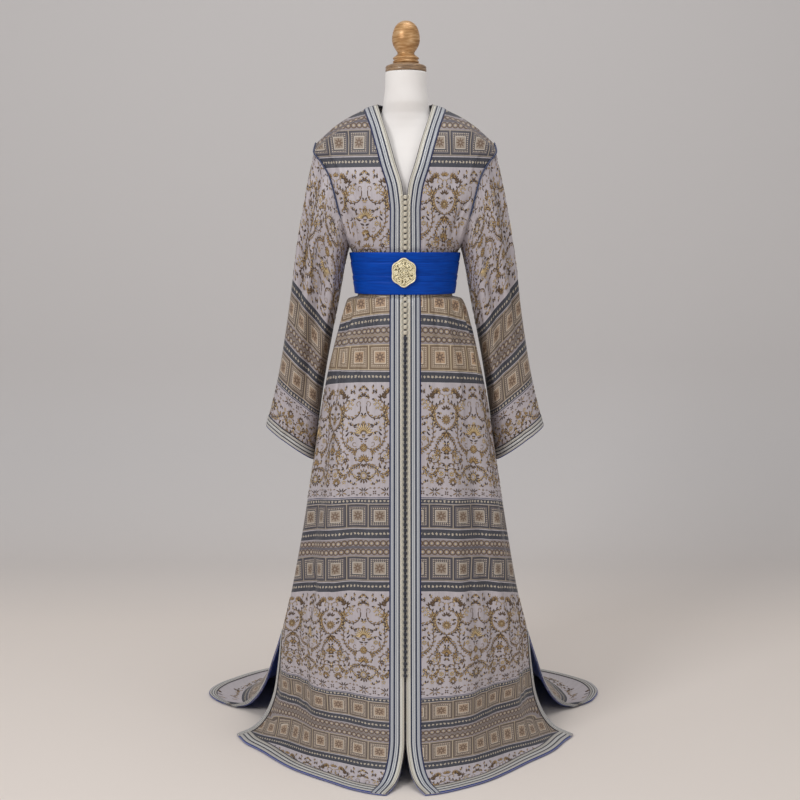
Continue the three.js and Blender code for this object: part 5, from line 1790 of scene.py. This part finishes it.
# Stained beech: dull brown with darker rings that the gouge left, satin varnish.
cap_wood, t = start_material("stained_beech")
place = put(t, "TexCoord").node.outputs["Object"]
stretched = put(t, "VectorMath", [place, (60.0, 60.0, 900.0)], operation="MULTIPLY")
grain = put(t, "TexNoise", {"Vector": stretched, "Scale": 1.0, "Detail": 4.0, "Distortion": 0.8})
hue = put(t, "ValToRGB", [grain], stops=[(0.3, "#5b4530"), (0.55, "#94775a"), (0.75, "#c8a67e")])
rough = put(t, "MapRange", [grain, 0.3, 0.7, 0.5, 0.34])
bump = put(t, "Bump", {"Strength": 0.3, "Distance": 0.0005, "Height": grain})
shader = put(
    t,
    "BsdfPrincipled",
    {"Base Color": hue, "Roughness": rough, "Normal": bump, "Coat Weight": 0.15},
)
put(t, "OutputMaterial", {"Surface": shader})
# Bronze-gold lacquer over turned wood, rubbed through on the edges.
finial_gold, t = start_material("rubbed_gold_lacquer")
place = put(t, "TexCoord").node.outputs["Object"]
stretched = put(t, "VectorMath", [place, (40.0, 40.0, 260.0)], operation="MULTIPLY")
rubbed = put(t, "TexNoise", {"Vector": stretched, "Scale": 1.0, "Detail": 4.0})
hue = put(t, "ValToRGB", [rubbed], stops=[(0.28, "#94693c"), (0.5, "#b98d5c"), (0.72, "#d9b488")])
rough = put(t, "MapRange", [rubbed, 0.3, 0.7, 0.48, 0.3])
bump = put(t, "Bump", {"Strength": 0.25, "Distance": 0.0004, "Height": rubbed})
shader = put(t, "BsdfPrincipled", {"Base Color": hue, "Metallic": 0.35, "Roughness": rough, "Normal": bump})
put(t, "OutputMaterial", {"Surface": shader})

CAP_BASE = 1553.3
CAP_PROFILE = [
    [0.2, 0], [43, 0], [45.6, 0.5], [46.8, 1.6], [47, 3.2],
    [47, 6.0], [46.2, 7.2], [46.2, 8.2], [47, 9.4], [46.7, 11.6],
    [45.2, 13.2], [43, 14.6], [40, 15.6], [36.5, 16.6], [34, 17.8], [31.5, 18.8], [29, 19], [0.2, 19],
]
FINIAL_PROFILE = [
    [0.2, 0], [26, 0], [29, 0.8], [30, 2.4], [30, 4.2],
    [28.8, 5.8], [27.2, 7], [27.2, 8.6], [28.8, 9.8], [30, 11.2],
    [29.8, 12.6], [27.5, 14.4], [24, 17], [21, 19.4],
    [19.3, 22], [19.4, 24.6], [21.2, 27.6], [23.4, 30.6], [26, 34.6],
    [28.6, 39.2], [30.6, 44.8], [31.8, 50.6], [32, 56],
    [31.4, 62.4], [30, 69.6], [27.6, 77], [24, 83.8], [19.4, 88.8],
    [13.6, 92.8], [7.6, 95.2], [2.5, 95.9], [0.2, 96],
]
turned_piece("form_turned_cap", CAP_PROFILE, CAP_BASE, cap_wood, "form_cap")
turned_piece("form_turned_finial", FINIAL_PROFILE, CAP_BASE + 19.3, finial_gold, "form_finial")

# Powder-coated steel for the pole and the foot: grey, matt, with a fine orange-peel surface.
steel, t = start_material("powder_coated_steel")
place = put(t, "TexCoord").node.outputs["Object"]
peel = put(t, "TexNoise", {"Vector": place, "Scale": 600.0, "Detail": 2.0})
scuff = put(t, "TexNoise", {"Vector": place, "Scale": 22.0, "Detail": 4.0})
hue = put(t, "ValToRGB", [scuff], stops=[(0.3, "#85878a"), (0.7, "#94969a")])
bump = put(t, "Bump", {"Strength": 0.15, "Distance": 0.0003, "Height": peel})
shader = put(t, "BsdfPrincipled", {"Base Color": hue, "Metallic": 0.5, "Roughness": 0.5, "Normal": bump})
put(t, "OutputMaterial", {"Surface": shader})
for node_name in ("form_pole", "form_foot"):
    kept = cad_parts[node_name].data
    kept.materials.clear()
    kept.materials.append(steel)

# ---- Cloth sheets ---------------------------------------------------------------------------
# The flat size that each cloth piece was cut to: width, length and area in metres, and the sewn
# braids and the woven figures listed with the panel that they are on.

CUTS = {
    "kaftan_front_left": (0.518, 1.609, 0.472),
    "kaftan_front_right": (0.518, 1.609, 0.471),
    "kaftan_back": (1.574, 1.72, 1.199),
    "kaftan_sleeve_left": (0.642, 0.672, 0.242),
    "kaftan_sleeve_right": (0.642, 0.672, 0.242),
    "satin_lining_left": (0.518, 0.406, 0.18),
    "satin_lining_right": (0.518, 0.406, 0.179),
    "satin_lining_back": (1.572, 0.524, 0.54),
}
TRIMS = {
    "kaftan_front_left": ["braid_sfifa_left", "edge_hem_braid_left", "edge_slit_braid_front_left"],
    "kaftan_front_right": ["braid_sfifa_right", "edge_hem_braid_right", "edge_slit_braid_front_right"],
    "kaftan_back": ["braid_sfifa_neck", "edge_hem_braid_back"],
    "kaftan_sleeve_left": ["edge_cuff_braid_left"],
    "kaftan_sleeve_right": ["edge_cuff_braid_right"],
}
TRIMS["kaftan_back"] += ["edge_slit_braid_back_left", "edge_slit_braid_back_right"]
for name, (width, length, area) in CUTS.items():
    trims = list(TRIMS.get(name, []))
    if name.startswith("kaftan"):
        trims.append(name.replace("kaftan", "woven_figures"))
    elif name.endswith("back"):
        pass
    else:
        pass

# ---- Stage, light and camera ----------------------------------------------------------------
# A pale floor that sweeps up into a light grey wall, broad soft lights, and a camera at standing
# height in front of the form.

bend = np.linspace(0.1, np.pi / 2, 14)
stage_y = np.concatenate([np.linspace(-6, 1.7, 12), 1.7 + 0.7 * np.sin(bend), [2.4]])
stage_z = np.concatenate([np.zeros(12), 0.7 - 0.7 * np.cos(bend), [6.0]])
x_grid, y_grid = np.meshgrid(np.linspace(-6, 6, 3), stage_y)
z_grid = np.broadcast_to(stage_z[:, None], x_grid.shape)
mesh = bpy.data.meshes.new("studio_sweep")
points = np.stack([x_grid, y_grid, z_grid], -1).reshape(-1, 3)
mesh.from_pydata(points.tolist(), [], grid_faces(27, 3, False, False).tolist())
mesh.polygons.foreach_set("use_smooth", np.ones(len(mesh.polygons), bool))
sweep_paper, t = start_material("studio_paper")
place = put(t, "TexCoord").node.outputs["Object"]
height = put(t, "SeparateXYZ", [place]).node.outputs[2]
depth = put(t, "SeparateXYZ", [place]).node.outputs[1]
to_wall = put(t, "MapRange", [depth, 0.9, 2.3, 0.0, 1.0])
hue = put(t, "Mix", [to_wall, "#e6ddd6", "#cfcccc"], data_type="RGBA")
shader = put(t, "BsdfPrincipled", {"Base Color": hue, "Roughness": 0.9})
# The back of the sweep is clear, so that the object can be seen from behind it.
behind = put(t, "NewGeometry").node.outputs["Backfacing"]
shader = put(t, "MixShader", [behind, shader, put(t, "BsdfTransparent")])
put(t, "OutputMaterial", {"Surface": shader})
mesh.materials.append(sweep_paper)
sweep = bpy.data.objects.new("studio_sweep", mesh)
bpy.context.scene.collection.objects.link(sweep)

world = bpy.data.worlds.new("studio_air")
world.use_nodes = True
world.node_tree.nodes["Background"].inputs[0].default_value = (1.0, 0.99, 0.98, 1.0)
world.node_tree.nodes["Background"].inputs[1].default_value = 0.42
bpy.context.scene.world = world
bpy.context.scene.view_settings.view_transform = "Standard"


def soft_light(name, place, aim, width, height, power):
    """An area light at a place, turned so that its -Z axis runs to its aim."""
    light = bpy.data.lights.new(name, "AREA")
    light.shape = "RECTANGLE"
    light.size = width
    light.size_y = height
    light.energy = power
    lamp = bpy.data.objects.new(name, light)
    lamp.visible_camera = False
    away = np.array(place, float) - np.array(aim, float)
    away = away / np.linalg.norm(away)
    lamp.location = place
    tilt = np.arccos(away[2])
    lamp.rotation_euler = (tilt, 0, np.arctan2(away[0], -away[1]))
    bpy.context.scene.collection.objects.link(lamp)


soft_light("key", (-2.3, -3.0, 2.9), (0, 0, 0.8), 1.4, 1.4, 72)
soft_light("fill", (2.6, -3.2, 1.8), (0, 0, 0.8), 2.2, 2.2, 20)
soft_light("top", (0.3, -0.4, 3.9), (0, 0.1, 0.6), 1.8, 1.8, 30)

camera_data = bpy.data.cameras.new("camera")
camera_data.sensor_width = 36
camera_data.lens = 59.85
camera = bpy.data.objects.new("camera", camera_data)
camera.location = (-0.0116, -3.11, 1.145)
camera.rotation_euler = (np.radians(83.64), 0, 0)
bpy.context.scene.collection.objects.link(camera)
bpy.context.scene.camera = camera
